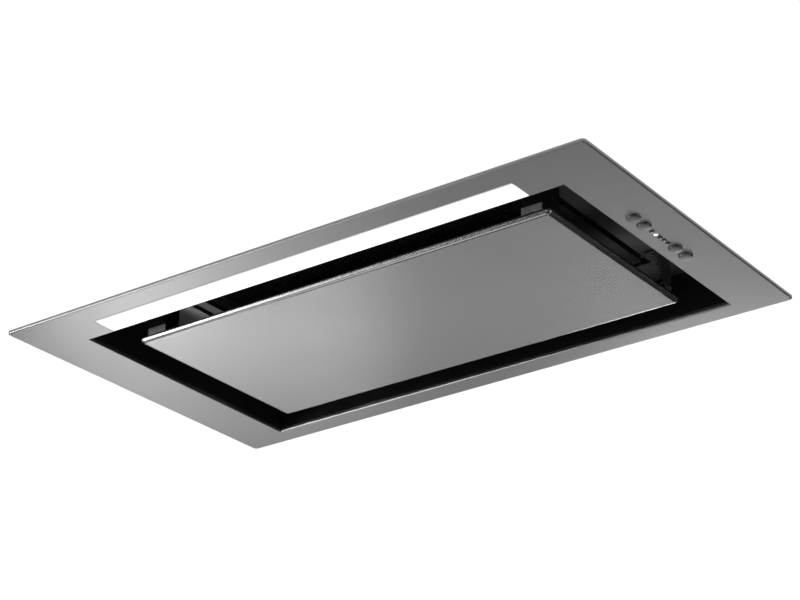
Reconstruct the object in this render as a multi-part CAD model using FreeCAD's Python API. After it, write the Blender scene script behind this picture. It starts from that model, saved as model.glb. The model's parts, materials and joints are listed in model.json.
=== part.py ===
import FreeCAD, Part
import math
import os

# Ceiling range hood: a flush stainless face plate, a black recess with a hinged
# perimeter-suction panel, a grease filter, a double-inlet blower and a duct
# collar with two non-return flaps. Millimetres, +Z up. The origin is the centre
# of the face plate in the plane of the ceiling, -Y is the side with the light.

V = FreeCAD.Vector
AXIS_X = V(1, 0, 0)
AXIS_Y = V(0, 1, 0)
AXIS_Z = V(0, 0, 1)

# Face plate
FACE_W = 600.0
FACE_D = 360.0
FACE_Z = -3.0            # visible face, below the ceiling plane
FACE_CORNER_R = 4.0
FACE_BEND_R = 1.2
SHEET = 1.0              # all folded sheet, unless said otherwise
OPEN_W = 499.0
OPEN_D = 284.0
OPEN_CY = 14.5           # the opening lies a little behind the middle
RETURN_TOP = 1.0         # top of the folded rim around the opening

# Light strip, let into the front edge of the opening
LIGHT_W = 438.0
LIGHT_D = 27.5
LIGHT_JOINT = 0.3
LIGHT_LIP = 1.0
LIGHT_BOX_TOP = 13.0
LIGHT_CHIPS = 24

# Control group on the right of the opening
CONTROL_X = 265.5
CONTROL_Y = 0.5
BUTTON_R = 6.0
BUTTON_PROUD = 1.6
BUTTON_TRAVEL = 1.2
BUTTON_GAP = 0.3         # play round a button and in front of its flange
STEM = 3.2
BUTTON_OFFSETS = (-44.4, -26.6, 26.6, 44.4)
LENS_R = 2.2
LENS_PROUD = 0.8
SWITCH_W = 6.4
SWITCH_FOOT = 5.0
LENS_PITCH = 6.8
LENS_COUNT = 5
LIT_LENS = 1
CONTROL_TOP = 14.0

# Casing above the ceiling
CASE_W = 572.0
CASE_D = 332.0
CASE_CORNER_R = 3.0
CASE_TOP = 262.0
DECK_Z = 42.0

# Suction panel, one slot's width inside the opening
SLOT = 32.0
PANEL_W = OPEN_W - 2 * SLOT
PANEL_D = OPEN_D - 2 * SLOT
PANEL_Z = FACE_Z - 1.0
PANEL_H = 4.7
PANEL_CORNER_R = 2.5
PANEL_BEND_R = 1.8
PANEL_RIM = 10.0
PANEL_TOP = PANEL_Z + PANEL_H
HINGE_Y = 118.0
HINGE_Z = 12.0
HINGE_X = 205.0
HINGE_PIN_R = 2.5
RUNNING = 0.05           # radial clearance of every pin that turns in a hole

# Catches at the front corners of the panel
CATCH_X = 202.0
CATCH_W = 24.0
STRIKE_X = 199.0
STRIKE_W = 20.0
STRIKE_TOP = 9.0
CATCH_FOOT_Z = 3.2
CATCH_BODY_TOP = 21.0
STRIKE_Y = -93.0

# Grease filter, in the deck above the panel
FILTER_W = 374.0
FILTER_D = 204.0
FILTER_H = 8.5
FILTER_CY = OPEN_CY
FILTER_RIM = 10.0
FILTER_GAP = 6.0
FILTER_PIN_R = 2.0
FILTER_WAVES = 30
MAGNET_T = 3.0
MAGNET_X = 120.0
SEAT_TOP = DECK_Z + FILTER_H + 0.3 + MAGNET_T + SHEET

# Blower: axis along X
FAN_Y = -50.0
FAN_Z = 152.0
FAN_R = 64.0
FAN_BLADE_IN_R = 52.0
FAN_HALF_W = 48.0
FAN_BLADES = 24
SHAFT_R = 4.0
VOLUTE_HALF_W = 56.0
VOLUTE_WALL = 1.5
VOLUTE_R = 72.0          # first quadrant of the spiral
VOLUTE_STEP = 8.0        # growth of the radius per quadrant
VOLUTE_TOP = CASE_TOP    # the duct's flange hangs from the roof
TONGUE_ANGLE = 60.0
INLET_R = 59.0           # outer edge of the bell-shaped mouth
INLET_MOUTH_R = 52.5
INLET_DEPTH = 8.0
MOTOR_R = 41.0

# Duct collar on the roof
COLLAR_Y = 16.0
COLLAR_R = 74.5          # a 150 mm duct slides over it
COLLAR_BORE_R = 72.0
COLLAR_LEDGE_R = 69.0    # the step that the closed flaps lie on
COLLAR_H = 40.0
COLLAR_FLANGE_R = 86.0
COLLAR_FLANGE_T = 1.5
FLAP_R = 70.5
FLAP_Z = 272.0
FLAP_T = 1.5
FLAP_PIN_R = 1.5
FLAP_PIN_Z = 274.5
FLAP_BARREL_R = 3.2
FLAP_EDGE_Y = 4.2        # straight edge of a flap's plate, clear of the other's barrels

# Hanging points and mains entry on the roof
HANG_X = 262.0
HANG_Y = 125.0
HANG_HOLE_R = 4.5
GLAND_X = 230.0
GLAND_Y = -55.0
GLAND_BORE_R = 4.5
GLAND_THREAD_R = 10.0

ROOF_Z = CASE_TOP + SHEET
OPEN_FRONT = OPEN_CY - OPEN_D / 2
OPEN_BACK = OPEN_CY + OPEN_D / 2


# ---------------------------------------------------------------- helpers

def box(x0, x1, y0, y1, z0, z1):
    return Part.makeBox(x1 - x0, y1 - y0, z1 - z0, V(x0, y0, z0))


def mirrored(shape):
    """The same piece on the other side of the YZ plane."""
    return shape.mirror(V(0, 0, 0), AXIS_X)


def rounded_outline(width, depth, radius, cx, cy, z):
    """A rectangle with arcs at its corners, as a closed wire."""
    hx = width / 2 - radius
    hy = depth / 2 - radius
    arcs = []
    for sx, sy, start in ((1, 1, 0), (-1, 1, 90), (-1, -1, 180), (1, -1, 270)):
        centre = V(cx + sx * hx, cy + sy * hy, z)
        arcs.append(Part.makeCircle(radius, centre, AXIS_Z, start, start + 90))
    edges = []
    for i, arc in enumerate(arcs):
        following = arcs[(i + 1) % 4]
        edges.append(arc)
        edges.append(Part.makeLine(arc.valueAt(arc.LastParameter),
                                   following.valueAt(following.FirstParameter)))
    return Part.Wire(edges)


def rounded_slab(width, depth, radius, cy, z0, z1, cx=0.0):
    outline = rounded_outline(width, depth, radius, cx, cy, z0)
    return Part.Face(outline).extrude(V(0, 0, z1 - z0))


def slab(width, depth, cy, z0, z1, cx=0.0):
    """The same with square corners."""
    return box(cx - width / 2, cx + width / 2, cy - depth / 2, cy + depth / 2, z0, z1)


def edges_at_height(shape, z):
    """Edges that lie in one horizontal plane."""
    found = []
    for edge in shape.Edges:
        bounds = edge.BoundBox
        if abs(bounds.ZMin - z) < 1e-4 and abs(bounds.ZMax - z) < 1e-4:
            found.append(edge)
    return found


def profile_x(points, x0, x1):
    """Extrude a closed YZ outline along X."""
    corners = [V(x0, y, z) for y, z in points]
    outline = Part.makePolygon(corners + corners[:1])
    return Part.Face(outline).extrude(V(x1 - x0, 0, 0))


def profile_y(points, y0, y1):
    """Extrude a closed XZ outline along Y."""
    corners = [V(x, y0, z) for x, z in points]
    outline = Part.makePolygon(corners + corners[:1])
    return Part.Face(outline).extrude(V(0, y1 - y0, 0))


def cylinder(radius, start, along, length):
    return Part.makeCylinder(radius, length, start, along)


def tube(outer, inner, start, along, length):
    return cylinder(outer, start, along, length).cut(cylinder(inner, start, along, length))


def hexagon(across_flats, x, y, z0, z1):
    radius = across_flats / math.sqrt(3)
    corners = []
    for i in range(6):
        angle = math.radians(60 * i)
        corners.append(V(x + radius * math.cos(angle), y + radius * math.sin(angle), z0))
    return Part.Face(Part.makePolygon(corners + corners[:1])).extrude(V(0, 0, z1 - z0))


def join(shapes):
    """One solid from shapes that share faces or overlap."""
    return shapes[0].multiFuse(shapes[1:]).removeSplitter()


def save(name, shape):
    shape.exportStep("parts/" + name + ".step")
    print(f"{name:26s} solids {len(shape.Solids):2d}  faces {len(shape.Faces):4d}  valid {shape.isValid()}")
    return len(shape.Solids)


# ---------------------------------------------------------------- face and recess

def button_points():
    return [(CONTROL_X, CONTROL_Y + offset) for offset in BUTTON_OFFSETS]


def lens_points():
    first = -(LENS_COUNT - 1) / 2 * LENS_PITCH
    return [(CONTROL_X, CONTROL_Y + first + i * LENS_PITCH) for i in range(LENS_COUNT)]


def face_frame():
    """Folded stainless plate: lip at the edge, rim round the opening, notch for the light."""
    back = FACE_Z + SHEET
    plate = rounded_slab(FACE_W, FACE_D, FACE_CORNER_R, 0, FACE_Z, 0)
    plate = plate.makeFillet(FACE_BEND_R, edges_at_height(plate, FACE_Z))
    hollow = rounded_slab(FACE_W - 2 * SHEET, FACE_D - 2 * SHEET, FACE_CORNER_R - SHEET, 0, back, 1)
    rim = box(-OPEN_W / 2 - SHEET, OPEN_W / 2 + SHEET, OPEN_FRONT - SHEET, OPEN_BACK + SHEET,
              FACE_Z, RETURN_TOP)
    plate = plate.cut(hollow).fuse(rim)
    opening = box(-OPEN_W / 2, OPEN_W / 2, OPEN_FRONT, OPEN_BACK, FACE_Z - 1, RETURN_TOP + 1)
    notch_x = LIGHT_W / 2 + LIGHT_JOINT
    notch = box(-notch_x, notch_x, OPEN_FRONT - LIGHT_D - LIGHT_JOINT, OPEN_CY,
                FACE_Z - 1, RETURN_TOP + 1)
    plate = plate.cut(opening).cut(notch)
    for x, y in button_points():
        plate = plate.cut(cylinder(BUTTON_R + BUTTON_GAP, V(x, y, FACE_Z - 1), AXIS_Z, 3))
    for x, y in lens_points():
        plate = plate.cut(cylinder(LENS_R, V(x, y, FACE_Z - 1), AXIS_Z, 3))
    return plate.removeSplitter()


def ceiling_gasket():
    """Foam ring between the plate and the ceiling."""
    outer = rounded_slab(FACE_W - 2.4, FACE_D - 2.4, 2.8, 0, FACE_Z + SHEET, 0)
    inner = rounded_slab(CASE_W + 1, CASE_D + 1, CASE_CORNER_R + 0.5, 0, FACE_Z + SHEET, 0)
    return outer.cut(inner)


def recess_liner():
    """Black collar that lines the recess, flanged top and bottom."""
    bottom = FACE_Z + SHEET
    wall_x = OPEN_W / 2 + 1.3
    wall_front = OPEN_FRONT - 1.3
    wall_back = OPEN_BACK + 1.3
    outer = box(-wall_x - SHEET, wall_x + SHEET, wall_front - SHEET, wall_back + SHEET, bottom, DECK_Z)
    top_flange = box(-wall_x - 7, wall_x + 7, wall_front - 7, wall_back + 5, DECK_Z - SHEET, DECK_Z)
    foot = box(-wall_x - 5, wall_x + 5, wall_front, wall_back + 3, bottom, bottom + SHEET)
    hollow = box(-wall_x, wall_x, wall_front, wall_back, bottom - 1, DECK_Z + 1)
    over_light = box(-LIGHT_W / 2 - 4, LIGHT_W / 2 + 4, wall_front - 8, wall_front, bottom - 1, bottom + 0.3)
    return outer.fuse(top_flange).fuse(foot).cut(hollow).cut(over_light).removeSplitter()


def outer_casing():
    """Galvanised wrapper with folded flanges at its foot and its roof."""
    foot_z = FACE_Z + SHEET
    shell = rounded_slab(CASE_W, CASE_D, CASE_CORNER_R, 0, foot_z, CASE_TOP)
    hollow = rounded_slab(CASE_W - 2 * SHEET, CASE_D - 2 * SHEET, CASE_CORNER_R - SHEET, 0,
                          foot_z + SHEET, CASE_TOP - SHEET)
    foot = slab(CASE_W - 10, CASE_D - 10, 0, foot_z - 1, foot_z + 2)
    roof = slab(CASE_W - 28, CASE_D - 28, 0, CASE_TOP - 2, CASE_TOP + 1)
    return shell.cut(hollow).cut(foot).cut(roof)


def filter_deck():
    """Plate that closes the blower chamber, with a window for the filter."""
    width = CASE_W - 2 * SHEET - 0.6
    depth = CASE_D - 2 * SHEET - 0.6
    tray = rounded_slab(width, depth, 2, 0, DECK_Z, DECK_Z + 12)
    hollow = slab(width - 2 * SHEET, depth - 2 * SHEET, 0, DECK_Z + SHEET, DECK_Z + 13)
    window = slab(FILTER_W + 2 * FILTER_GAP, FILTER_D + 2 * FILTER_GAP, FILTER_CY, DECK_Z - 1, DECK_Z + 2)
    return tray.cut(hollow).cut(window)


def filter_seat():
    """Z-section ring on the deck: the filter stops under its inward flange."""
    base = DECK_Z + SHEET
    web_w = FILTER_W + 2 * FILTER_GAP
    web_d = FILTER_D + 2 * FILTER_GAP
    foot = rounded_slab(web_w + 16, web_d + 16, 4, FILTER_CY, base, base + SHEET)
    web = rounded_slab(web_w + 2, web_d + 2, 3, FILTER_CY, base, SEAT_TOP)
    hollow = slab(web_w, web_d, FILTER_CY, base - 1, SEAT_TOP - SHEET)
    mouth = slab(FILTER_W - 12, FILTER_D - 12, FILTER_CY, base - 1, SEAT_TOP + 1)
    seat = foot.fuse(web).cut(hollow).cut(mouth)
    pin_y, pin_z = filter_pin_place()
    seat = seat.cut(cylinder(FILTER_PIN_R + RUNNING, V(-web_w, pin_y, pin_z), AXIS_X, 2 * web_w))
    return seat.removeSplitter()


def filter_magnets():
    """Two flat magnets under the seat's flange, which hold the filter's front edge up."""
    top = SEAT_TOP - SHEET
    front = FILTER_CY - FILTER_D / 2 - 2.5
    blocks = []
    for side in (-1, 1):
        x = side * MAGNET_X
        blocks.append(box(x - 15, x + 15, front, front + 8, top - MAGNET_T, top))
    return Part.makeCompound(blocks)


# ---------------------------------------------------------------- light

def light_diffuser():
    """Opal strip: flush with the plate, with a lip behind it."""
    back = FACE_Z + SHEET
    strip = box(-LIGHT_W / 2, LIGHT_W / 2, OPEN_FRONT - LIGHT_D, OPEN_FRONT, FACE_Z, back)
    lip = box(-LIGHT_W / 2 - LIGHT_LIP, LIGHT_W / 2 + LIGHT_LIP, OPEN_FRONT - LIGHT_D - LIGHT_LIP,
              OPEN_FRONT - 3.4, back, back + 1.8)
    return strip.fuse(lip).removeSplitter()


def light_housing():
    """Channel over the strip, open downwards."""
    x = LIGHT_W / 2 + LIGHT_LIP + 0.3
    front = OPEN_FRONT - LIGHT_D - LIGHT_LIP - 0.3
    back = OPEN_FRONT - 2.6
    bottom = FACE_Z + SHEET
    outer = box(-x - SHEET, x + SHEET, front - SHEET, back, bottom, LIGHT_BOX_TOP)
    inner = box(-x, x, front, back - SHEET / 2, bottom - 1, LIGHT_BOX_TOP - SHEET)
    return outer.cut(inner)


def light_board_y():
    return OPEN_FRONT - LIGHT_D / 2 - 1.0


def light_board():
    y = light_board_y()
    top = LIGHT_BOX_TOP - SHEET
    return box(-LIGHT_W / 2 + 4, LIGHT_W / 2 - 4, y - 6, y + 6, top - 1.6, top)


def light_chips():
    """A row of surface-mount light sources under the board."""
    pitch = (LIGHT_W - 20) / LIGHT_CHIPS
    top = LIGHT_BOX_TOP - SHEET - 1.6
    y = light_board_y()
    chips = []
    for i in range(LIGHT_CHIPS):
        x = (i - (LIGHT_CHIPS - 1) / 2) * pitch
        chips.append(box(x - 1.75, x + 1.75, y - 1.4, y + 1.4, top - 0.7, top))
    return Part.makeCompound(chips)


def light_driver():
    """Potted supply on the deck, with screw ears."""
    base = DECK_Z + SHEET
    body = rounded_slab(56, 34, 3, -135, base, base + 22, 240)
    lid = rounded_slab(52, 30, 2, -135, base + 22, base + 24, 240)
    ears = rounded_slab(72, 16, 4, -135, base, base + 2.5, 240)
    return join([body, lid, ears])


# ---------------------------------------------------------------- controls

def control_housing():
    """Moulded box behind the buttons: a web inside guides their stems."""
    bottom = FACE_Z + SHEET
    half_d = 58.0
    x0 = CONTROL_X - 7.9
    x1 = CONTROL_X + 14.5
    shell = box(x0, x1, CONTROL_Y - half_d, CONTROL_Y + half_d, bottom, CONTROL_TOP)
    lower = box(x0 + 1, x1 - 1, CONTROL_Y - half_d + 1.5, CONTROL_Y + half_d - 1.5, bottom - 1, 1.0)
    upper = box(x0 + 1, x1 - 1, CONTROL_Y - half_d + 1.5, CONTROL_Y + half_d - 1.5, 2.5,
                CONTROL_TOP - 1.5)
    shell = shell.cut(lower).cut(upper)
    guide = STEM / 2 + BUTTON_GAP
    for x, y in button_points():
        shell = shell.cut(box(x - guide, x + guide, y - guide, y + guide, 0, 4))
    reach = LENS_PITCH * (LENS_COUNT - 1) / 2 + LENS_R
    return shell.cut(box(CONTROL_X - LENS_R, CONTROL_X + LENS_R, CONTROL_Y - reach, CONTROL_Y + reach, 0, 4))


def control_board():
    top = CONTROL_TOP - 1.5
    return box(CONTROL_X - 6.5, CONTROL_X + 13, CONTROL_Y - 55, CONTROL_Y + 55, top - 1.6, top)


def control_switches():
    """Four tactile switches: each button's stem runs in its switch."""
    top = CONTROL_TOP - 3.1
    half = SWITCH_W / 2
    well = STEM / 2 + BUTTON_GAP
    cans = []
    for x, y in button_points():
        can = box(x - half, x + half, y - half, y + half, SWITCH_FOOT, top)
        cans.append(can.cut(box(x - well, x + well, y - well, y + well, SWITCH_FOOT - 1, top - 1)))
    return Part.makeCompound(cans)


def button(x, y):
    """Round cap with a retaining flange behind the plate and a square stem."""
    front = FACE_Z - BUTTON_PROUD
    flange_z = FACE_Z + SHEET + BUTTON_GAP
    stem_top = CONTROL_TOP - 3.1 - 1.0 - BUTTON_GAP - BUTTON_TRAVEL
    cap = cylinder(BUTTON_R, V(x, y, front), AXIS_Z, flange_z - front)
    cap = cap.makeChamfer(0.4, edges_at_height(cap, front))
    flange = cylinder(BUTTON_R + 0.7, V(x, y, flange_z), AXIS_Z, 1.2)
    stem = box(x - STEM / 2, x + STEM / 2, y - STEM / 2, y + STEM / 2, flange_z, stem_top)
    return join([cap, flange, stem])


def lens(x, y):
    """Light pipe from the plate to the board."""
    front = FACE_Z - LENS_PROUD
    return cylinder(LENS_R, V(x, y, front), AXIS_Z, CONTROL_TOP - 3.1 - front)


def indicator_lenses():
    pipes = [lens(x, y) for i, (x, y) in enumerate(lens_points()) if i != LIT_LENS]
    return Part.makeCompound(pipes)


def lit_indicator_lens():
    x, y = lens_points()[LIT_LENS]
    return lens(x, y)


# ---------------------------------------------------------------- suction panel

def panel_skin():
    """Stainless tray: rounded folds at its edge and an inward rim."""
    skin = rounded_slab(PANEL_W, PANEL_D, PANEL_CORNER_R, OPEN_CY, PANEL_Z, PANEL_TOP)
    skin = skin.makeFillet(PANEL_BEND_R, edges_at_height(skin, PANEL_Z))
    inner = rounded_slab(PANEL_W - 2 * SHEET, PANEL_D - 2 * SHEET, PANEL_CORNER_R - SHEET, OPEN_CY,
                         PANEL_Z + SHEET, PANEL_TOP - SHEET)
    inner = inner.makeFillet(PANEL_BEND_R - SHEET, edges_at_height(inner, PANEL_Z + SHEET))
    mouth = rounded_slab(PANEL_W - 2 * PANEL_RIM, PANEL_D - 2 * PANEL_RIM, 4, OPEN_CY,
                         PANEL_TOP - 2 * SHEET, PANEL_TOP + 1)
    return skin.cut(inner).cut(mouth)


def panel_backing():
    """Galvanised stiffener: a plate under the rim on three hat ribs."""
    plate_t = 0.8
    top = PANEL_TOP - SHEET
    plate = rounded_slab(PANEL_W - 6, PANEL_D - 6, 3, OPEN_CY, top - plate_t, top)
    low = PANEL_Z + SHEET
    shapes = [plate]
    for row in (-1, 0, 1):
        y = OPEN_CY + row * 70
        outline = [(y - 11, low), (y + 11, low), (y + 6, top - plate_t / 2), (y - 6, top - plate_t / 2)]
        hollow = [(y - 9.8, low + 0.8), (y + 9.8, low + 0.8), (y + 5.4, top + 1), (y - 5.4, top + 1)]
        rib = profile_x(outline, -200, 200)
        shapes[0] = shapes[0].cut(profile_x(hollow, -198, 198))
        shapes.append(rib.cut(profile_x(hollow, -201, 201)))
    return join(shapes)


def panel_strike():
    """Folded tab on the panel's front edge, held by the catch's magnet."""
    x0 = STRIKE_X - STRIKE_W / 2
    x1 = STRIKE_X + STRIKE_W / 2
    t = 1.2
    outline = [(STRIKE_Y, PANEL_TOP), (STRIKE_Y + 13, PANEL_TOP), (STRIKE_Y + 13, PANEL_TOP + t),
               (STRIKE_Y + t, PANEL_TOP + t), (STRIKE_Y + t, STRIKE_TOP), (STRIKE_Y, STRIKE_TOP)]
    return profile_x(outline, x0, x1)


def panel_hinge_arm():
    """Folded arm at the back of the panel that carries the hinge pin."""
    t = 2.0
    x0 = HINGE_X - 1
    cheek = profile_x([(HINGE_Y - 16, PANEL_TOP), (HINGE_Y + 4.5, PANEL_TOP), (HINGE_Y + 5, HINGE_Z),
                       (HINGE_Y - 5, HINGE_Z + 1)], x0, x0 + t)
    eye = cylinder(5, V(x0, HINGE_Y, HINGE_Z), AXIS_X, t)
    foot = box(x0 - 12, x0 + t, HINGE_Y - 16, HINGE_Y + 4.5, PANEL_TOP, PANEL_TOP + 1.2)
    arm = join([cheek, eye, foot])
    return arm.cut(cylinder(HINGE_PIN_R, V(x0 - 1, HINGE_Y, HINGE_Z), AXIS_X, 6))


def panel_hinge_pin():
    start = HINGE_X - 1.0
    return cylinder(HINGE_PIN_R, V(start, HINGE_Y, HINGE_Z), AXIS_X, 9.0)


def panel_hinge_bracket():
    """Ear that hangs from the deck with the hinge's bore."""
    x0 = HINGE_X + 3
    t = 2.0
    ear = profile_x([(HINGE_Y - 6, HINGE_Z), (HINGE_Y + 6, HINGE_Z), (HINGE_Y + 6, DECK_Z),
                     (HINGE_Y - 18, DECK_Z)], x0, x0 + t)
    eye = cylinder(6, V(x0, HINGE_Y, HINGE_Z), AXIS_X, t)
    foot = box(x0 - 10, x0 + t, HINGE_Y - 18, HINGE_Y + 6, DECK_Z - t, DECK_Z)
    bracket = join([ear, eye, foot])
    return bracket.cut(cylinder(HINGE_PIN_R + RUNNING, V(x0 - 1, HINGE_Y, HINGE_Z), AXIS_X, 4))


def panel_catch():
    """Moulded magnet holder under the deck: body, back plate and two gussets."""
    x0 = CATCH_X - CATCH_W / 2
    x1 = CATCH_X + CATCH_W / 2
    front = STRIKE_Y + 1.6
    back = front + 19.0
    top = CATCH_BODY_TOP
    body = box(x0, x1, front, back, CATCH_FOOT_Z, top)
    body = body.makeFillet(1.5, [e for e in body.Edges if abs(e.BoundBox.ZLength - top + CATCH_FOOT_Z) < 1e-4])
    plate = box(x0, x1, back - 2, back, top - 1, DECK_Z)
    foot = box(x0, x1, front + 1, back, DECK_Z - 2, DECK_Z)
    gusset = [(back - 1, top - 1), (front + 5, top - 1), (front + 2, top + 5), (front + 1, DECK_Z - 1),
              (back - 1, DECK_Z - 1)]
    shapes = [body, plate, foot, profile_x(gusset, x0, x0 + 2), profile_x(gusset, x1 - 2, x1)]
    holder = join(shapes)
    return holder.cut(catch_magnet())


def catch_magnet():
    front = STRIKE_Y + 1.6
    return box(CATCH_X - 8, CATCH_X + 8, front, front + 5, STRIKE_TOP - 4.4, STRIKE_TOP)


# ---------------------------------------------------------------- grease filter

def filter_pin_place():
    return FILTER_CY + FILTER_D / 2 - 3.5, DECK_Z + FILTER_H / 2


def filter_frame():
    """Channel-section rim, open inwards to hold the mesh."""
    t = 0.8
    rim = rounded_slab(FILTER_W, FILTER_D, 3, FILTER_CY, DECK_Z, DECK_Z + FILTER_H)
    channel = slab(FILTER_W - 2 * t, FILTER_D - 2 * t, FILTER_CY, DECK_Z + t, DECK_Z + FILTER_H - t)
    window = slab(FILTER_W - 2 * FILTER_RIM, FILTER_D - 2 * FILTER_RIM, FILTER_CY,
                  DECK_Z - 1, DECK_Z + FILTER_H + 1)
    rim = rim.cut(channel).cut(window)
    pin_y, pin_z = filter_pin_place()
    return rim.cut(cylinder(FILTER_PIN_R, V(-FILTER_W, pin_y, pin_z), AXIS_X, 2 * FILTER_W))


def filter_mesh():
    """Corrugated aluminium mesh, drawn as one folded sheet."""
    t = 0.6
    low = DECK_Z + 1.0
    high = DECK_Z + FILTER_H - 1.0 - t
    half = FILTER_W / 2 - 3.0
    pitch = 2 * half / FILTER_WAVES
    lower = []
    for i in range(2 * FILTER_WAVES + 1):
        lower.append((-half + i * pitch / 2, low if i % 2 == 0 else high))
    upper = [(x, z + t) for x, z in reversed(lower)]
    y = FILTER_D / 2 - 7.0
    return profile_y(lower + upper, FILTER_CY - y, FILTER_CY + y)


def filter_pins():
    pin_y, pin_z = filter_pin_place()
    pins = []
    for side in (-1, 1):
        pins.append(cylinder(FILTER_PIN_R, V(side * (FILTER_W / 2 - 2.0), pin_y, pin_z),
                             V(side, 0, 0), FILTER_GAP + 6.0))
    return Part.makeCompound(pins)


def filter_pull():
    """Finger tab folded down from the filter's front rim."""
    y = FILTER_CY - FILTER_D / 2 + 2
    outline = [(y, DECK_Z), (y + 8, DECK_Z), (y + 8, DECK_Z - 1), (y + 1, DECK_Z - 1), (y + 1, DECK_Z - 7),
               (y + 5, DECK_Z - 7), (y + 5, DECK_Z - 8), (y, DECK_Z - 8)]
    return profile_x(outline, -27, 27)


# ---------------------------------------------------------------- blower

def volute_outline(inset, x):
    """Spiral of quadrant arcs on a small square, opening upwards into a duct."""
    half = VOLUTE_STEP / 2
    centres = [(-half, half), (-half, -half), (half, -half), (half, half)]
    radii = [VOLUTE_R + i * VOLUTE_STEP - inset for i in range(4)]
    wall_y = -half + VOLUTE_R * math.cos(math.radians(TONGUE_ANGLE)) + inset
    tongue = math.degrees(math.acos((wall_y + half) / radii[0]))
    starts = [tongue, 90, 180, 270]
    edges = []
    for (cy, cz), radius, start in zip(centres, radii, starts):
        stop = 90 if start == tongue else start + 90
        centre = V(x, FAN_Y + cy, FAN_Z + cz)
        edges.append(Part.makeCircle(radius, centre, AXIS_X, start, stop))
    outer_y = FAN_Y + half + radii[3]
    first = edges[0].valueAt(edges[0].FirstParameter)
    last = edges[3].valueAt(edges[3].LastParameter)
    top = VOLUTE_TOP + inset
    edges.append(Part.makeLine(last, V(x, outer_y, top)))
    edges.append(Part.makeLine(V(x, outer_y, top), V(x, first.y, top)))
    edges.append(Part.makeLine(V(x, first.y, top), first))
    return Part.Wire(Part.sortEdges(edges)[0])


def volute_duct():
    """Y limits of the upward duct at its outer faces."""
    half = VOLUTE_STEP / 2
    low = FAN_Y - half + VOLUTE_R * math.cos(math.radians(TONGUE_ANGLE))
    high = FAN_Y + half + VOLUTE_R + 3 * VOLUTE_STEP
    return low, high


def volute_half():
    """Right half of the moulded housing, split on the middle plane, with its inlet mouth."""
    solid = Part.Face(volute_outline(0, 0)).extrude(V(VOLUTE_HALF_W, 0, 0))
    space = Part.Face(volute_outline(VOLUTE_WALL, -1)).extrude(V(VOLUTE_HALF_W + 1 - VOLUTE_WALL, 0, 0))
    low, high = volute_duct()
    flange = box(0, VOLUTE_HALF_W + 6, low - 6, high + 6, VOLUTE_TOP - 2, VOLUTE_TOP)
    passage = box(-1, VOLUTE_HALF_W - VOLUTE_WALL, low + VOLUTE_WALL, high - VOLUTE_WALL,
                  VOLUTE_TOP - 3, VOLUTE_TOP + 3)
    inner = VOLUTE_HALF_W - INLET_DEPTH
    centre = V(inner, FAN_Y, FAN_Z)
    cone = Part.makeCone(INLET_MOUTH_R + VOLUTE_WALL, INLET_R + VOLUTE_WALL, INLET_DEPTH, centre, AXIS_X)
    bore = Part.makeCone(INLET_MOUTH_R, INLET_R, INLET_DEPTH, centre, AXIS_X)
    return solid.cut(space).fuse([flange, cone]).cut(passage).cut(bore).removeSplitter()


def blade(x0, x1):
    """One forward-leaning blade, bent once, as a thin sheet between two radii."""
    thick = 0.8 / FAN_R
    lean = math.radians(9)
    middle_r = (FAN_R + FAN_BLADE_IN_R) / 2
    stations = [(FAN_BLADE_IN_R, 0), (middle_r, lean * 0.2), (FAN_R, lean)]
    near = [V(x0, r * math.cos(a), r * math.sin(a)) for r, a in stations]
    far = [V(x0, r * math.cos(a + thick), r * math.sin(a + thick)) for r, a in reversed(stations)]
    outline = Part.makePolygon(near + far + near[:1])
    return Part.Face(outline).extrude(V(x1 - x0, 0, 0))


def impeller():
    """Double-width wheel: a middle disc, two rows of blades, two end rings and a hub."""
    disc = cylinder(FAN_R + 0.6, V(-1, 0, 0), AXIS_X, 2)
    hub = cylinder(11, V(1, 0, 0), AXIS_X, 15)
    shapes = [disc, hub]
    for x in (-FAN_HALF_W, FAN_HALF_W - 2):
        shapes.append(tube(FAN_R + 0.6, FAN_R - 4, V(x, 0, 0), AXIS_X, 2))
    for x0, x1 in ((-FAN_HALF_W + 2, -1), (1, FAN_HALF_W - 2)):
        for i in range(FAN_BLADES):
            vane = blade(x0, x1)
            vane.rotate(V(0, 0, 0), AXIS_X, 360 / FAN_BLADES * i)
            shapes.append(vane)
    wheel = shapes[0].multiFuse(shapes[1:])
    wheel = wheel.cut(cylinder(SHAFT_R, V(-20, 0, 0), AXIS_X, 40))
    wheel.translate(V(0, FAN_Y, FAN_Z))
    return wheel


def motor_shaft():
    return cylinder(SHAFT_R, V(-50, FAN_Y, FAN_Z), AXIS_X, 70)


def motor():
    """Round motor inside the left row of blades, with a stepped end bell."""
    can = cylinder(MOTOR_R, V(-46, FAN_Y, FAN_Z), AXIS_X, 38)
    plate = cylinder(36, V(-50, FAN_Y, FAN_Z), AXIS_X, 5)
    nose = cylinder(20, V(-9, FAN_Y, FAN_Z), AXIS_X, 3)
    body = join([can, plate, nose])
    return body.cut(cylinder(SHAFT_R + RUNNING, V(-60, FAN_Y, FAN_Z), AXIS_X, 70))


def around_fan(shape):
    """Three copies of a piece made for the +Y direction, turned about the fan's axis."""
    copies = []
    for angle in (30, 150, 270):
        copy = shape.copy()
        copy.rotate(V(0, 0, 0), AXIS_X, angle)
        copy.translate(V(0, FAN_Y, FAN_Z))
        copies.append(copy)
    return copies


def motor_grommets():
    """Rubber feet between the motor and its bracket."""
    return Part.makeCompound(around_fan(cylinder(5.5, V(-58.5, 29, 0), AXIS_X, 8.5)))


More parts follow.
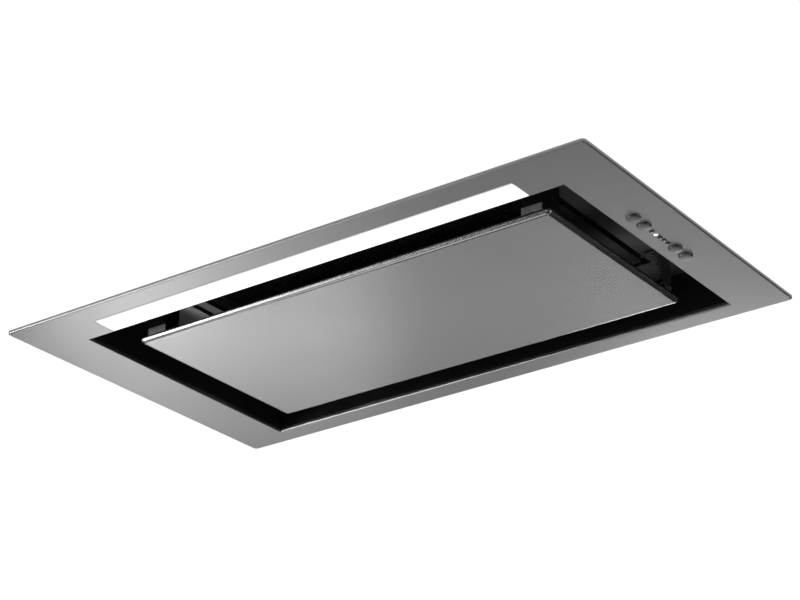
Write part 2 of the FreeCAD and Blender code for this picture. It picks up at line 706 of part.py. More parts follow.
def motor_bracket():
    """Ring behind the motor with three cranked arms to the housing's side."""
    ring = tube(36, 21, V(-60, 0, 0), AXIS_X, 1.5)
    ring.translate(V(0, FAN_Y, FAN_Z))
    # the section of an arm is drawn in XY and pushed through Z
    points = [(-60, 34), (-60, 71), (-57.5, 71), (-57.5, 80), (-56, 80), (-56, 69.5), (-58.5, 69.5), (-58.5, 34)]
    corners = [V(x, y, -7) for x, y in points]
    arm = Part.Face(Part.makePolygon(corners + corners[:1])).extrude(V(0, 0, 14))
    return join([ring] + around_fan(arm))


def run_capacitor():
    """Capacitor can on the deck, with a rolled rim and a terminal cap."""
    base = V(-240, -128, DECK_Z + SHEET)
    can = cylinder(15, base, AXIS_Z, 58)
    return can.fuse(cylinder(12, base + V(0, 0, 58), AXIS_Z, 4))


# ---------------------------------------------------------------- roof

def roof_plate():
    """Lid of the casing, with the blower's square outlet and the cable's hole."""
    lid = rounded_slab(CASE_W, CASE_D, CASE_CORNER_R, 0, CASE_TOP, ROOF_Z)
    low, high = volute_duct()
    half = VOLUTE_HALF_W - VOLUTE_WALL
    lid = lid.cut(box(-half, half, low + VOLUTE_WALL, high - VOLUTE_WALL, CASE_TOP - 1, ROOF_Z + 1))
    return lid.cut(cylinder(GLAND_THREAD_R, V(GLAND_X, GLAND_Y, CASE_TOP - 1), AXIS_Z, 3))


def hanger_bracket(side_x, side_y):
    """Z-bracket with a hole for a threaded rod."""
    t = 2.0
    top = ROOF_Z + 22
    outline = [(222, ROOF_Z), (248, ROOF_Z), (248, top - t), (276, top - t), (276, top), (246, top),
               (246, ROOF_Z + t), (222, ROOF_Z + t)]
    y = side_y * HANG_Y
    bracket = profile_y(outline, y - 18, y + 18)
    bracket = bracket.cut(cylinder(HANG_HOLE_R, V(HANG_X, y, top - 5), AXIS_Z, 10))
    return bracket if side_x > 0 else mirrored(bracket)


def collar_flange():
    """Flat ring under the collar, on the roof."""
    return tube(COLLAR_FLANGE_R, COLLAR_LEDGE_R, V(0, COLLAR_Y, ROOF_Z), AXIS_Z, COLLAR_FLANGE_T)


def outlet_collar():
    """Duct sleeve with a step that stops the flaps and two holes for their pin."""
    base = V(0, COLLAR_Y, ROOF_Z + COLLAR_FLANGE_T)
    sleeve = cylinder(COLLAR_R, base, AXIS_Z, COLLAR_H - COLLAR_FLANGE_T)
    sleeve = sleeve.cut(cylinder(COLLAR_LEDGE_R, base, AXIS_Z, COLLAR_H))
    seat = FLAP_Z - 0.3
    sleeve = sleeve.cut(cylinder(COLLAR_BORE_R, V(0, COLLAR_Y, seat), AXIS_Z, COLLAR_H))
    return sleeve.cut(cylinder(FLAP_PIN_R, V(-90, COLLAR_Y, FLAP_PIN_Z), AXIS_X, 180))


def flap_pin():
    return cylinder(FLAP_PIN_R, V(-COLLAR_R + 0.3, COLLAR_Y, FLAP_PIN_Z), AXIS_X, 2 * COLLAR_R - 0.6)


def flap_knuckle(x0, x1):
    """Barrel on the pin with a strap that lies on the flap's plate."""
    axis_z = FLAP_PIN_Z - FLAP_Z
    barrel = cylinder(FLAP_BARREL_R, V(x0, 0, axis_z), AXIS_X, x1 - x0)
    barrel = barrel.common(box(x0, x1, -FLAP_BARREL_R, FLAP_BARREL_R, axis_z - 3.0, axis_z + 4))
    top = FLAP_T + 1.2
    strap = profile_x([(0, 0), (FLAP_EDGE_Y, 0), (FLAP_EDGE_Y, FLAP_T), (FLAP_EDGE_Y + 6, FLAP_T),
                       (FLAP_EDGE_Y + 6, top), (0, top)], x0, x1)
    return join([barrel, strap]).cut(cylinder(FLAP_PIN_R + RUNNING, V(x0 - 1, 0, axis_z), AXIS_X, x1 - x0 + 2))


def flap():
    """Ribbed half-disc and two knuckles, made for the +Y half.

    The same part turned by half a turn is the other flap: its knuckles fill the gaps."""
    disc = cylinder(FLAP_R, V(0, 0, 0), AXIS_Z, FLAP_T)
    plate = disc.common(box(-FLAP_R, FLAP_R, FLAP_EDGE_Y, FLAP_R, -1, FLAP_T + 1))
    rib = profile_x([(FLAP_EDGE_Y, FLAP_T / 2), (60, FLAP_T / 2), (52, FLAP_T + 1.2),
                     (FLAP_EDGE_Y, FLAP_T + 1.2)], -0.8, 0.8)
    return Part.makeCompound([join([plate, rib]), flap_knuckle(-61, -31), flap_knuckle(1, 30)])


def flap_rear():
    leaf = flap()
    leaf.translate(V(0, COLLAR_Y, FLAP_Z))
    return leaf


def flap_front():
    leaf = flap()
    leaf.rotate(V(0, 0, 0), AXIS_Z, 180)
    leaf.translate(V(0, COLLAR_Y, FLAP_Z))
    return leaf


# ---------------------------------------------------------------- mains entry

def terminal_box():
    """Moulded box under the roof, open at its foot for the cover."""
    shell = rounded_slab(74, 64, 4, GLAND_Y, CASE_TOP - 42, CASE_TOP, GLAND_X)
    space = slab(70, 60, GLAND_Y, CASE_TOP - 43, CASE_TOP - 2, GLAND_X)
    shell = shell.cut(space)
    return shell.cut(cylinder(GLAND_THREAD_R, V(GLAND_X, GLAND_Y, CASE_TOP - 5), AXIS_Z, 10))


def terminal_cover():
    lid = rounded_slab(74, 64, 4, GLAND_Y, CASE_TOP - 44, CASE_TOP - 42, GLAND_X)
    plug = slab(69.6, 59.6, GLAND_Y, CASE_TOP - 42, CASE_TOP - 40, GLAND_X)
    hollow = slab(66, 56, GLAND_Y, CASE_TOP - 42, CASE_TOP - 39, GLAND_X)
    return join([lid, plug.cut(hollow)])


def terminal_block():
    """Three-pole screw block, stepped between the poles."""
    base = CASE_TOP - 42
    poles = []
    for i in range(3):
        y = GLAND_Y - 12 + 12 * i
        pole = box(GLAND_X - 30, GLAND_X - 16, y - 5.2, y + 5.2, base, base + 14)
        pole = pole.cut(cylinder(2.0, V(GLAND_X - 23, y, base + 8), AXIS_Z, 8))
        poles.append(pole)
    web = box(GLAND_X - 28, GLAND_X - 18, GLAND_Y - 17, GLAND_Y + 17, base, base + 3)
    return join(poles + [web])


def cable_gland():
    """Gland with a hexagon cap nut and a round lip, seated on the roof."""
    thread = cylinder(GLAND_THREAD_R, V(GLAND_X, GLAND_Y, CASE_TOP - 10), AXIS_Z, 12)
    body = hexagon(24, GLAND_X, GLAND_Y, ROOF_Z, ROOF_Z + 5)
    cap = hexagon(20, GLAND_X, GLAND_Y, ROOF_Z + 5, ROOF_Z + 15)
    lip = cylinder(8.5, V(GLAND_X, GLAND_Y, ROOF_Z + 15), AXIS_Z, 5)
    gland = join([thread, body, cap, lip])
    return gland.cut(cylinder(GLAND_BORE_R, V(GLAND_X, GLAND_Y, CASE_TOP - 20), AXIS_Z, 60))


def gland_nut():
    nut = hexagon(25, GLAND_X, GLAND_Y, CASE_TOP - 6, CASE_TOP - 2)
    return nut.cut(cylinder(GLAND_THREAD_R, V(GLAND_X, GLAND_Y, CASE_TOP - 8), AXIS_Z, 10))


# ---------------------------------------------------------------- the assembly

def pieces():
    """Every node's name and solid."""
    made = {
        "face_frame": face_frame(),
        "ceiling_gasket": ceiling_gasket(),
        "recess_liner": recess_liner(),
        "outer_casing": outer_casing(),
        "filter_deck": filter_deck(),
        "filter_seat": filter_seat(),
        "filter_magnets": filter_magnets(),
        "light_diffuser": light_diffuser(),
        "light_housing": light_housing(),
        "light_board": light_board(),
        "light_chips": light_chips(),
        "light_driver": light_driver(),
        "control_housing": control_housing(),
        "control_board": control_board(),
        "control_switches": control_switches(),
        "indicator_lenses": indicator_lenses(),
        "lit_indicator_lens": lit_indicator_lens(),
        "panel_skin": panel_skin(),
        "panel_backing": panel_backing(),
        "filter_frame": filter_frame(),
        "filter_mesh": filter_mesh(),
        "filter_pins": filter_pins(),
        "filter_pull": filter_pull(),
        "volute_right": volute_half(),
        "volute_left": mirrored(volute_half()),
        "impeller": impeller(),
        "motor_shaft": motor_shaft(),
        "motor": motor(),
        "motor_grommets": motor_grommets(),
        "motor_bracket": motor_bracket(),
        "run_capacitor": run_capacitor(),
        "roof_plate": roof_plate(),
        "collar_flange": collar_flange(),
        "outlet_collar": outlet_collar(),
        "flap_pin": flap_pin(),
        "flap_front": flap_front(),
        "flap_rear": flap_rear(),
        "terminal_box": terminal_box(),
        "terminal_cover": terminal_cover(),
        "terminal_block": terminal_block(),
        "cable_gland": cable_gland(),
        "gland_nut": gland_nut(),
    }
    for i, (x, y) in enumerate(button_points()):
        made[f"button_{i + 1}"] = button(x, y)
    sided = {
        "panel_strike": panel_strike(),
        "panel_hinge_arm": panel_hinge_arm(),
        "panel_hinge_bracket": panel_hinge_bracket(),
        "panel_catch": panel_catch(),
    }
    for name, shape in sided.items():
        made[name + "_right"] = shape
        made[name + "_left"] = mirrored(shape)
    made["panel_hinge_pins"] = Part.makeCompound([panel_hinge_pin(), mirrored(panel_hinge_pin())])
    made["catch_magnets"] = Part.makeCompound([catch_magnet(), mirrored(catch_magnet())])
    brackets = [hanger_bracket(sx, sy) for sx in (-1, 1) for sy in (-1, 1)]
    made["hanger_brackets"] = Part.makeCompound(brackets)
    return made


os.makedirs("parts", exist_ok=True)
total = 0
for node, solid in pieces().items():
    total += save(node, solid)
print("solids in all:", total)
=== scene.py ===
# %% [markdown]
# # A flush ceiling hood, dressed for the studio
# The hood is a stainless plate pressed against a white ceiling. Air goes in through the slot
# round a hinged steel panel; a light strip lies in the front edge and four buttons sit on the
# right. The solids come from the CAD frame. This file gives them finishes, swaps the pieces
# seen up close for softer-edged ones, and adds the small fasteners that CAD leaves out.

import json
import math

import bmesh
import bpy
from mathutils import Matrix, Vector


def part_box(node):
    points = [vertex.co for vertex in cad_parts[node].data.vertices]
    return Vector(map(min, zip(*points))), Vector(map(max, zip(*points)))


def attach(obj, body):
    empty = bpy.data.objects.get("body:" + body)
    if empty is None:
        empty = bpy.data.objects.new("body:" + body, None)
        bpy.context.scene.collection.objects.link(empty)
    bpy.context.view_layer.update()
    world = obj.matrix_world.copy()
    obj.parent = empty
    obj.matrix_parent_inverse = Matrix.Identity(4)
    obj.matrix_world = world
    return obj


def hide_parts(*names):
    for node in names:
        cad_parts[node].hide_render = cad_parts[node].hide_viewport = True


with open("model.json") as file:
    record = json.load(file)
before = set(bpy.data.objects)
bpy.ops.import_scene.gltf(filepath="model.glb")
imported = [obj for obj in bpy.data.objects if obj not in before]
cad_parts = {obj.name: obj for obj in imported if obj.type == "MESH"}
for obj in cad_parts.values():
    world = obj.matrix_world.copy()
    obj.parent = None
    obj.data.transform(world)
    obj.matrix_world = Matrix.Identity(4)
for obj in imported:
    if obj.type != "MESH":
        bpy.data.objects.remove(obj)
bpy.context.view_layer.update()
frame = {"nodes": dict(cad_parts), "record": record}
nodes = frame["nodes"]
MM = 0.001


def corners(name):
    """The low and the high corner of a CAD node's box, as two vectors."""
    return [Vector(corner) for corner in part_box(name)]


# %% [markdown]
# ## The camera
# The photograph looks up at the plate from the front right with a long lens, so the plate's
# edges hardly converge. A camera is placed from an azimuth, an elevation and a small roll
# round a target, because those are the numbers a photographer would change one at a time.

# %% Camera from angles
AZIMUTH = math.radians(34.42)
ELEVATION = math.radians(-24.83)
ROLL = math.radians(-1.12)
DISTANCE = 1.9994
TARGET = Vector((0.01952, -0.02254, 0.0))
LENS_MM = 102.77

away = Vector((math.sin(AZIMUTH) * math.cos(ELEVATION),
               -math.cos(AZIMUTH) * math.cos(ELEVATION), math.sin(ELEVATION)))
level = Vector((math.cos(AZIMUTH), math.sin(AZIMUTH), 0.0))
upward = away.cross(level)
right = level * math.cos(ROLL) + upward * math.sin(ROLL)
up = upward * math.cos(ROLL) - level * math.sin(ROLL)
turn = Matrix((right, up, away)).transposed().to_4x4()

camera = bpy.data.objects.new("camera", bpy.data.cameras.new("camera"))
bpy.context.scene.collection.objects.link(camera)
camera.matrix_world = Matrix.Translation(TARGET + away * DISTANCE) @ turn
camera.data.sensor_width = 36.0
camera.data.lens = LENS_MM
camera.data.clip_end = 60.0
bpy.context.scene.camera = camera
print("camera at", [round(v, 4) for v in camera.matrix_world.translation])

# %% [markdown]
# ## Shader maths in plain Python
# A material is a graph of nodes, and wiring Math nodes by hand hides what they compute. The
# class below wraps one output socket, so that `1 - mask * 0.3` adds its Math nodes by itself.
# Every other node comes from one method: a type, its settings, and what goes into its sockets.

# %% A socket that does arithmetic
class Field:
    """One output of a material's graph, which can be used in sums."""

    def __init__(self, finish, socket):
        self.finish = finish
        self.socket = socket

    def joined(self, operation, left, right):
        return self.finish.node("ShaderNodeMath", {"operation": operation}, {0: left, 1: right})

    def __add__(self, other):
        return self.joined("ADD", self, other)

    def __sub__(self, other):
        return self.joined("SUBTRACT", self, other)

    def __rsub__(self, other):
        return self.joined("SUBTRACT", other, self)

    def __mul__(self, other):
        return self.joined("MULTIPLY", self, other)

    __radd__ = __add__
    __rmul__ = __mul__


# %% A finish under construction
class Finish:
    """A material whose graph is written as expressions."""

    def __init__(self, name):
        self.material = bpy.data.materials.new(name)
        self.material.use_nodes = True
        self.tree = self.material.node_tree
        self.tree.nodes.clear()
        self.place = self.node("ShaderNodeTexCoord", out="Object")

    def node(self, kind, settings=None, sockets=None, out=0):
        made = self.tree.nodes.new(kind)
        for key, value in (settings or {}).items():
            if key == "stops":
                self.fill_ramp(made.color_ramp, value)
            else:
                setattr(made, key, value)
        for key, value in (sockets or {}).items():
            if isinstance(value, Field):
                self.tree.links.new(value.socket, made.inputs[key])
            else:
                made.inputs[key].default_value = value
        return Field(self, made.outputs[out])

    def fill_ramp(self, ramp, stops):
        while len(ramp.elements) < len(stops):
            ramp.elements.new(0.5)
        for element, (position, grey) in zip(ramp.elements, stops):
            element.position = position
            element.color = (grey, grey, grey, 1)

    def stretched(self, scale):
        """The object's coordinates, scaled per axis, so that a round speck becomes a line."""
        return self.node("ShaderNodeMapping", None, {"Vector": self.place, "Scale": scale})

    def noise(self, scale, detail=2.0, roughness=0.5, where=None):
        return self.node("ShaderNodeTexNoise", None,
                         {"Vector": where or self.place, "Scale": scale, "Detail": detail,
                          "Roughness": roughness})

    def ramp(self, field, *stops):
        return self.node("ShaderNodeValToRGB", {"stops": stops}, {"Fac": field})

    def blend(self, factor, dark, light):
        """A colour between two colours."""
        return self.node("ShaderNodeMix", {"data_type": "RGBA"},
                         {"Factor": factor, 6: dark, 7: light}, out=2)

    def bump(self, height, depth, strength):
        return self.node("ShaderNodeBump", None,
                         {"Height": height, "Distance": depth, "Strength": strength})

    def done(self, **sockets):
        """Close the graph with a Principled shader and give back the material."""
        names = {key.replace("_", " "): value for key, value in sockets.items()}
        shader = self.node("ShaderNodeBsdfPrincipled", None, names)
        self.node_output(shader)
        return self.material

    def node_output(self, shader):
        made = self.tree.nodes.new("ShaderNodeOutputMaterial")
        self.tree.links.new(shader.socket, made.inputs["Surface"])


def grey(value, warmth=0.0):
    return (value * (1 + warmth), value, value * (1 - warmth), 1)


print("shader helpers ready")

# %% [markdown]
# ## Brushed stainless steel
# The sheet is ground in one direction, along its length, before it is folded. Real scratches are
# a few hundredths of a millimetre wide and some centimetres long. Two stretched noises stand for
# them: hairs half a millimetre wide and finer, and bands of some millimetres. Together they vary
# the tone and the roughness and raise a tiny bump; slow clouds stand for the film that hands and
# steam leave. Real anisotropy would need tangents on every piece, so the streaked bump does its
# work here.

# %% Stainless
ALONG_THE_SHEET = (9.0, 1900.0, 1900.0)
BANDS_TO_HAIRS = 0.13


def brushed(name, tone, roughness, grain=ALONG_THE_SHEET, smudge=0.05):
    """Ground steel. The grain is how many of the broadest hairs a metre holds along each axis."""
    f = Finish(name)
    hairs = f.noise(1.0, 3.0, 0.6, f.stretched(grain))
    bands = f.noise(1.0, 2.0, 0.5, f.stretched([v * BANDS_TO_HAIRS for v in grain]))
    clouds = f.noise(9.0, 3.0, 0.55)
    streaks = hairs * 0.6 + bands * 0.4
    tint = f.blend(streaks, grey(tone * 0.93), grey(tone * 1.05))
    wear = (clouds - 0.5) * smudge
    return f.done(
        Base_Color=tint, Metallic=1.0,
        Roughness=wear + (streaks - 0.5) * 0.10 + roughness,
        Normal=f.bump(streaks, 0.02 * MM, 0.5))


stainless = brushed("brushed_stainless", 0.60, 0.30)
stainless_panel = brushed("panel_stainless", 0.60, 0.25)
bright_steel = brushed("bright_steel", 0.68, 0.24, (300.0, 40.0, 300.0), 0.08)
# painted shade: the buttons' steel is about half as light as the plate's, for the shade on the caps' faces
shaded_button_steel = brushed("shaded_button_steel", 0.32, 0.36, (500.0, 500.0, 500.0), 0.10)
print("steels ready")

# %% [markdown]
# ## Galvanised sheet
# Zinc freezes in flat crystals, each with its own tone. A Voronoi pattern gives every cell one
# random grey; a weak noise blurs their tones so the cells don't look like tiles. The deck, the
# casing and the strikes get copies of the zinc with their own dullness and a lighter tone, which
# is painted light: it makes up for light that the lamps give them too little.

# %% Zinc
def zinc(name, tone=0.42, dullness=0.0):
    f = Finish(name)
    drift = f.noise(60.0, 2.0)
    cells = f.node("ShaderNodeTexVoronoi", {"feature": "F1"},
                   {"Vector": f.place, "Scale": 120.0, "Randomness": 1.0}, out="Color")
    crystal = f.ramp(cells, (0.0, 0.25), (1.0, 0.75)) * 0.7 + drift * 0.3
    stain = f.ramp(f.noise(14.0, 4.0, 0.6), (0.35, 0.0), (0.75, 1.0))
    metal = f.blend(crystal, grey(tone * 0.80, -0.01), grey(tone * 1.2, -0.02))
    aged = f.blend(stain * 0.35, metal, grey(tone * 0.9, 0.01))
    return f.done(Base_Color=aged, Metallic=0.92,
                  Roughness=crystal * 0.16 + stain * 0.08 + (0.36 + dullness),
                  Normal=f.bump(crystal, 0.03 * MM, 0.35))


galvanised = zinc("galvanised_sheet")
# painted light: lighter zinc for the strikes, the casing and the deck, which the lamps light too little
lit_strike_zinc = zinc("lit_strike_zinc", 0.84, 0.22)
lit_casing_zinc = zinc("lit_casing_zinc", 0.66, 0.10)
lit_deck_zinc = zinc("lit_deck_zinc", 0.50)
print("zinc ready")

# %% [markdown]
# ## Black paint
# The recess is powder-coated black. The coat has a fine orange peel, a touch less gloss where
# grease has settled, and a few pale rub marks, without which it would look like a hole. The
# mouldings, the foam, the rubber and the castings are built the same way from other numbers.

# %% Paint and moulded plastics
def coated(name, tone, roughness, peel=900.0, depth_mm=0.03, speck=0.0, coat=0.0):
    """A skin of paint or plastic: peel is how fine its bumps are, speck how pale its rub marks."""
    f = Finish(name)
    skin = f.noise(peel, 2.0)
    film = f.noise(22.0, 4.0, 0.6)
    rub = f.ramp(f.noise(1.0, 3.0, 0.7, f.stretched((30.0, 30.0, 140.0))), (0.62, 0.0), (0.80, 1.0))
    paint = f.blend(film * 0.5 + rub * speck, grey(tone * 0.85), grey(tone * 1.2 + 0.02 * speck))
    return f.done(Base_Color=paint, Roughness=film * 0.12 + rub * 0.08 + (roughness - 0.06),
                  Coat_Weight=coat, Coat_Roughness=0.2, Normal=f.bump(skin, depth_mm * MM, 0.5))


black_paint = coated("black_liner", 0.018, 0.36, speck=0.4)
black_plastic = coated("black_plastic", 0.020, 0.42, 1400.0, 0.05)
grey_plastic = coated("grey_plastic", 0.36, 0.45, 1400.0, 0.06)
white_plastic = coated("white_plastic", 0.72, 0.40, 1200.0, 0.04)
volute_plastic = coated("volute_plastic", 0.035, 0.50, 800.0, 0.08)
wheel_plastic = coated("wheel_plastic", 0.11, 0.45, 900.0, 0.06)
foam = coated("foam", 0.045, 0.90, 420.0, 0.6)
rubber = coated("rubber", 0.020, 0.62, 900.0, 0.08)
ferrite = coated("ferrite", 0.045, 0.55, 500.0, 0.10, speck=1.0)
cast_metal = coated("cast_metal", 0.20, 0.48, 260.0, 0.20, speck=1.0)
dark_lens = coated("dark_lens", 0.150, 0.24, 600.0, 0.01, coat=0.5)
print("paints and plastics ready")

# %% [markdown]
# ## Aluminium filter
# The rim is satin aluminium; the mesh behind it is knitted wire. Both are given a far darker tone
# than bare aluminium, which is painted shade of the recess. At arm's length a knit reads
# as rows of small loops, so two crossed waves make the loops as bump and as gaps of painted shadow.

# %% Aluminium rim and knitted mesh
def satin_aluminium(name, tone):
    f = Finish(name)
    hairs = f.noise(1.0, 3.0, 0.6, f.stretched((8.0, 700.0, 700.0)))
    grease = f.noise(16.0, 4.0, 0.6)
    tint = f.blend(hairs, grey(tone * 0.9), grey(tone * 1.1))
    return f.done(Base_Color=tint, Metallic=1.0, Roughness=hairs * 0.1 + grease * 0.14 + 0.34,
                  Normal=f.bump(hairs, 0.02 * MM, 0.4))


def knitted_mesh(name):
    f = Finish(name)
    rows = f.node("ShaderNodeTexWave", {"bands_direction": "Y", "wave_profile": "SIN"},
                  {"Vector": f.place, "Scale": 110.0, "Distortion": 1.5, "Detail Scale": 3.0}, out="Fac")
    loops = f.node("ShaderNodeTexWave", {"bands_direction": "X", "wave_profile": "SIN"},
                   {"Vector": f.place, "Scale": 150.0, "Distortion": 2.5, "Detail Scale": 2.0}, out="Fac")
    wires = f.ramp(rows * 0.5 + loops * 0.5, (0.30, 0.0), (0.62, 1.0))
    # painted shadow in the gaps between the loops, and a dark tone overall as painted shade
    tint = f.blend(wires, grey(0.02), grey(0.20))
    return f.done(Base_Color=tint, Metallic=0.9, Roughness=0.62 - wires * 0.22,
                  Normal=f.bump(wires, 0.4 * MM, 0.8))


# painted shade: the rim and the expanded sheets are aluminium darkened well below its own tone
aluminium = satin_aluminium("filter_aluminium", 0.20)
shaded_mesh_sheet = satin_aluminium("shaded_mesh_sheet", 0.14)
shaded_mesh_wire = knitted_mesh("knitted_mesh")
print("filter finishes ready")

# %% [markdown]
# ## Things that glow
# The strip is opal acrylic over a row of light sources. It glows almost evenly. Only its border,
# about a millimetre wide, stays dim, because there the acrylic lies on the plate's edge; that dim
# border is the fine grey line round the strip. Towards its front edge the glow also falls off over
# a few millimetres, as the light sources stand further back. The emission is a colour that varies
# over the surface and a strength that doesn't.

# %% Opal strip
LIP = 1.0 * MM
DIM_BORDER = 1.2 * MM
FRONT_FADE = 6.0 * MM


def uneven(f, faintest):
    """A glow that drifts slowly between faintest and full."""
    return f.ramp(f.noise(6.0, 2.0), (0.3, faintest), (0.7, 1.0))


def opal_strip(name, strength, low, high):
    """Opal plastic whose glow ends in a dim border between two corners and fades at the front."""
    f = Finish(name)
    lit = uneven(f, 0.93)
    for axis in (0, 1):
        along = f.node("ShaderNodeSeparateXYZ", None, {0: f.place}, out=axis)
        from_middle = f.node("ShaderNodeMath", {"operation": "ABSOLUTE"},
                             {0: along - (low[axis] + high[axis]) / 2})
        inside = ((high[axis] - low[axis]) / 2 - from_middle) * (1 / DIM_BORDER)
        lit = lit * f.ramp(inside, (0.45, 0.10), (0.80, 1.0))
    from_front = (f.node("ShaderNodeSeparateXYZ", None, {0: f.place}, out=1) - low[1]) * (1 / FRONT_FADE)
    lit = lit * f.ramp(from_front, (0.10, 0.30), (1.0, 1.0))
    return f.done(Base_Color=grey(0.80), Roughness=lit * 0.1 + 0.2, Emission_Color=lit,
                  Emission_Strength=strength)


strip_low, strip_high = corners("light_diffuser")
opal = opal_strip("opal_diffuser", 1.5, strip_low + Vector((LIP, LIP, 0)),
                  strip_high - Vector((LIP, 0, 0)))
print(f"strip {(strip_high.x - strip_low.x) / MM:.1f} x {(strip_high.y - strip_low.y) / MM:.1f} mm")


# %% Light pipe and light chips
GLOW_REACH = 2.222 * MM


def lit_pipe(name, strength, axis_at):
    """A light pipe that is brightest on its axis, where the light source behind it stands."""
    f = Finish(name)
    flat = f.node("ShaderNodeVectorMath", {"operation": "MULTIPLY"}, {0: f.place, 1: (1, 1, 0)})
    from_axis = f.node("ShaderNodeVectorMath", {"operation": "DISTANCE"}, {0: flat, 1: axis_at},
                       out="Value")
    core = f.ramp(from_axis * (1 / GLOW_REACH), (0.25, 1.0), (0.95, 0.14))
    return f.done(Base_Color=grey(0.55), Roughness=core * 0.1 + 0.2, Emission_Color=core,
                  Emission_Strength=strength)


def chip_finish(name, strength):
    f = Finish(name)
    drift = uneven(f, 0.9)
    return f.done(Base_Color=grey(0.85), Roughness=drift * 0.1 + 0.25, Emission_Color=drift,
                  Emission_Strength=strength)


lit_low, lit_high = corners("lit_indicator_lens")
lit_middle = (lit_low + lit_high) / 2
lit_glow = lit_pipe("lit_lens", 2.2, (lit_middle.x, lit_middle.y, 0.0))
light_chip = chip_finish("light_chip", 4.0)
print("glowing finishes ready")

# %% [markdown]
# ## Circuit boards
# A board is green lacquer over copper tracks. The tracks run square to each other, so a brick
# pattern with thin mortar is near enough for boards that lie hidden behind the plate.

# %% Circuit board
BOARD_GREEN = (0.010, 0.085, 0.035, 1)
TRACK_GREEN = (0.10, 0.24, 0.10, 1)


def board_finish(name):
    f = Finish(name)
    tracks = f.node("ShaderNodeTexBrick", {"offset": 0.37, "squash": 0.6},
                    {"Vector": f.place, "Scale": 130.0, "Mortar Size": 0.06, "Mortar Smooth": 0.2},
                    out="Fac")
    grain = f.noise(700.0, 2.0)
    return f.done(Base_Color=f.blend(tracks, BOARD_GREEN, TRACK_GREEN), Roughness=grain * 0.1 + 0.28,
                  Normal=f.bump(tracks, 0.04 * MM, 0.5))


circuit_board = board_finish("circuit_board")
print("circuit board ready")

# %% [markdown]
# ## Dress every CAD node
# Each node keeps its shape and takes the finish of the record's slot. A table of slot to finish
# is shorter than a table of nodes, and a new node with an old slot needs no new line. The few
# nodes whose sheet differs from the rest of their slot are painted afterwards.

# %% Finish by slot
FINISHES = {
    "brushed_stainless": stainless, "galvanised_sheet": galvanised, "black_liner": black_paint,
    "bright_steel": bright_steel, "filter_aluminium": aluminium, "wheel_plastic": wheel_plastic,
    "volute_plastic": volute_plastic, "black_plastic": black_plastic, "grey_plastic": grey_plastic,
    "white_plastic": white_plastic, "opal_diffuser": opal, "light_chip": light_chip,
    "dark_lens": dark_lens, "lit_lens": lit_glow, "button_metal": shaded_button_steel, "ferrite": ferrite,
    "motor_metal": cast_metal, "foam": foam, "rubber": rubber, "circuit_board": circuit_board,
}
slot_of = {row["node"]: row["material_slot"] for row in frame["record"]["subparts"]}


def paint(piece, finish):
    piece.data.materials.clear()
    piece.data.materials.append(finish)


for name, node in nodes.items():
    paint(node, FINISHES[slot_of[name]])
# painted light: the casing, the roof and the hangers take a lighter zinc, as the lamps light them too
# little
for name in ("outer_casing", "roof_plate", "hanger_brackets"):  # bright sheet, above the ceiling
    paint(nodes[name], lit_casing_zinc)
# painted light: the deck takes a lighter zinc, set for the light it gets in the recess
paint(nodes["filter_deck"], lit_deck_zinc)
paint(nodes["filter_mesh"], shaded_mesh_wire)
print("dressed", len(nodes), "nodes")

# %% [markdown]
# ## Soft edges
# A folded or moulded edge is never sharp: its small radius catches a thin line of light, and
# that line is half of what makes sheet metal read as metal. The CAD meshes are loose triangles,
# so a copy is merged, flat faces are joined up, and a bevel rounds the edges that turn by more
# than forty degrees. Weighted normals keep the big flats flat. The copy stands for the node.

# %% From a bmesh to a finished piece
STILL_SMOOTH = math.radians(35)
body_of = {member: body for body, members in frame["record"]["behaviour"]["bodies"].items()
           for member in members}


def finished(shape, name, body, finish, stands_for=()):
    """Link a shape as a piece: smooth up to a fold, painted, riding on its body."""
    mesh = bpy.data.meshes.new(name)
    shape.to_mesh(mesh)
    shape.free()
    for face in mesh.polygons:
        face.use_smooth = True
    mesh.set_sharp_from_angle(angle=STILL_SMOOTH)
    piece = bpy.data.objects.new(name, mesh)
    bpy.context.scene.collection.objects.link(piece)
    flats = piece.modifiers.new("flats", "WEIGHTED_NORMAL")
    flats.keep_sharp = True
    flats.weight = 80
    paint(piece, finish)
    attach(piece, body)
    if stands_for:
        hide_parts(*stands_for)
    print(f"{name}: {len(mesh.polygons)} faces on {body}")


# %% A softened copy of a CAD node
SAME_PLACE = 0.01 * MM
SAME_PLANE = math.radians(1)
SHARP = math.radians(40)


def rounded(shape, edges, radius, segments=2, clamp=False):
    bmesh.ops.bevel(shape, geom=edges, offset=radius, segments=segments, profile=0.5, affect="EDGES",
                    clamp_overlap=clamp, material=-1)


def merged_copy(node_name):
    shape = bmesh.new()
    shape.from_mesh(nodes[node_name].data)
    bmesh.ops.remove_doubles(shape, verts=shape.verts, dist=SAME_PLACE)
    return shape


def softened(node_name, radius, finish=None, is_fold=None, fold_radius=0.0):
    """Round a node's sharp edges, after the folds that is_fold picks, which take their own radius."""
    shape = merged_copy(node_name)
    bmesh.ops.dissolve_limit(shape, angle_limit=SAME_PLANE, verts=shape.verts, edges=shape.edges,
                             delimit={"NORMAL"})
    if is_fold:
        rounded(shape, [e for e in shape.edges if is_fold(e)], fold_radius, 4, clamp=True)
    sharp = [e for e in shape.edges if len(e.link_faces) == 2 and e.calc_face_angle() > SHARP]
    rounded(shape, sharp, radius, clamp=True)
    finished(shape, "soft_" + node_name, body_of[node_name],
             finish or nodes[node_name].data.materials[0], [node_name])


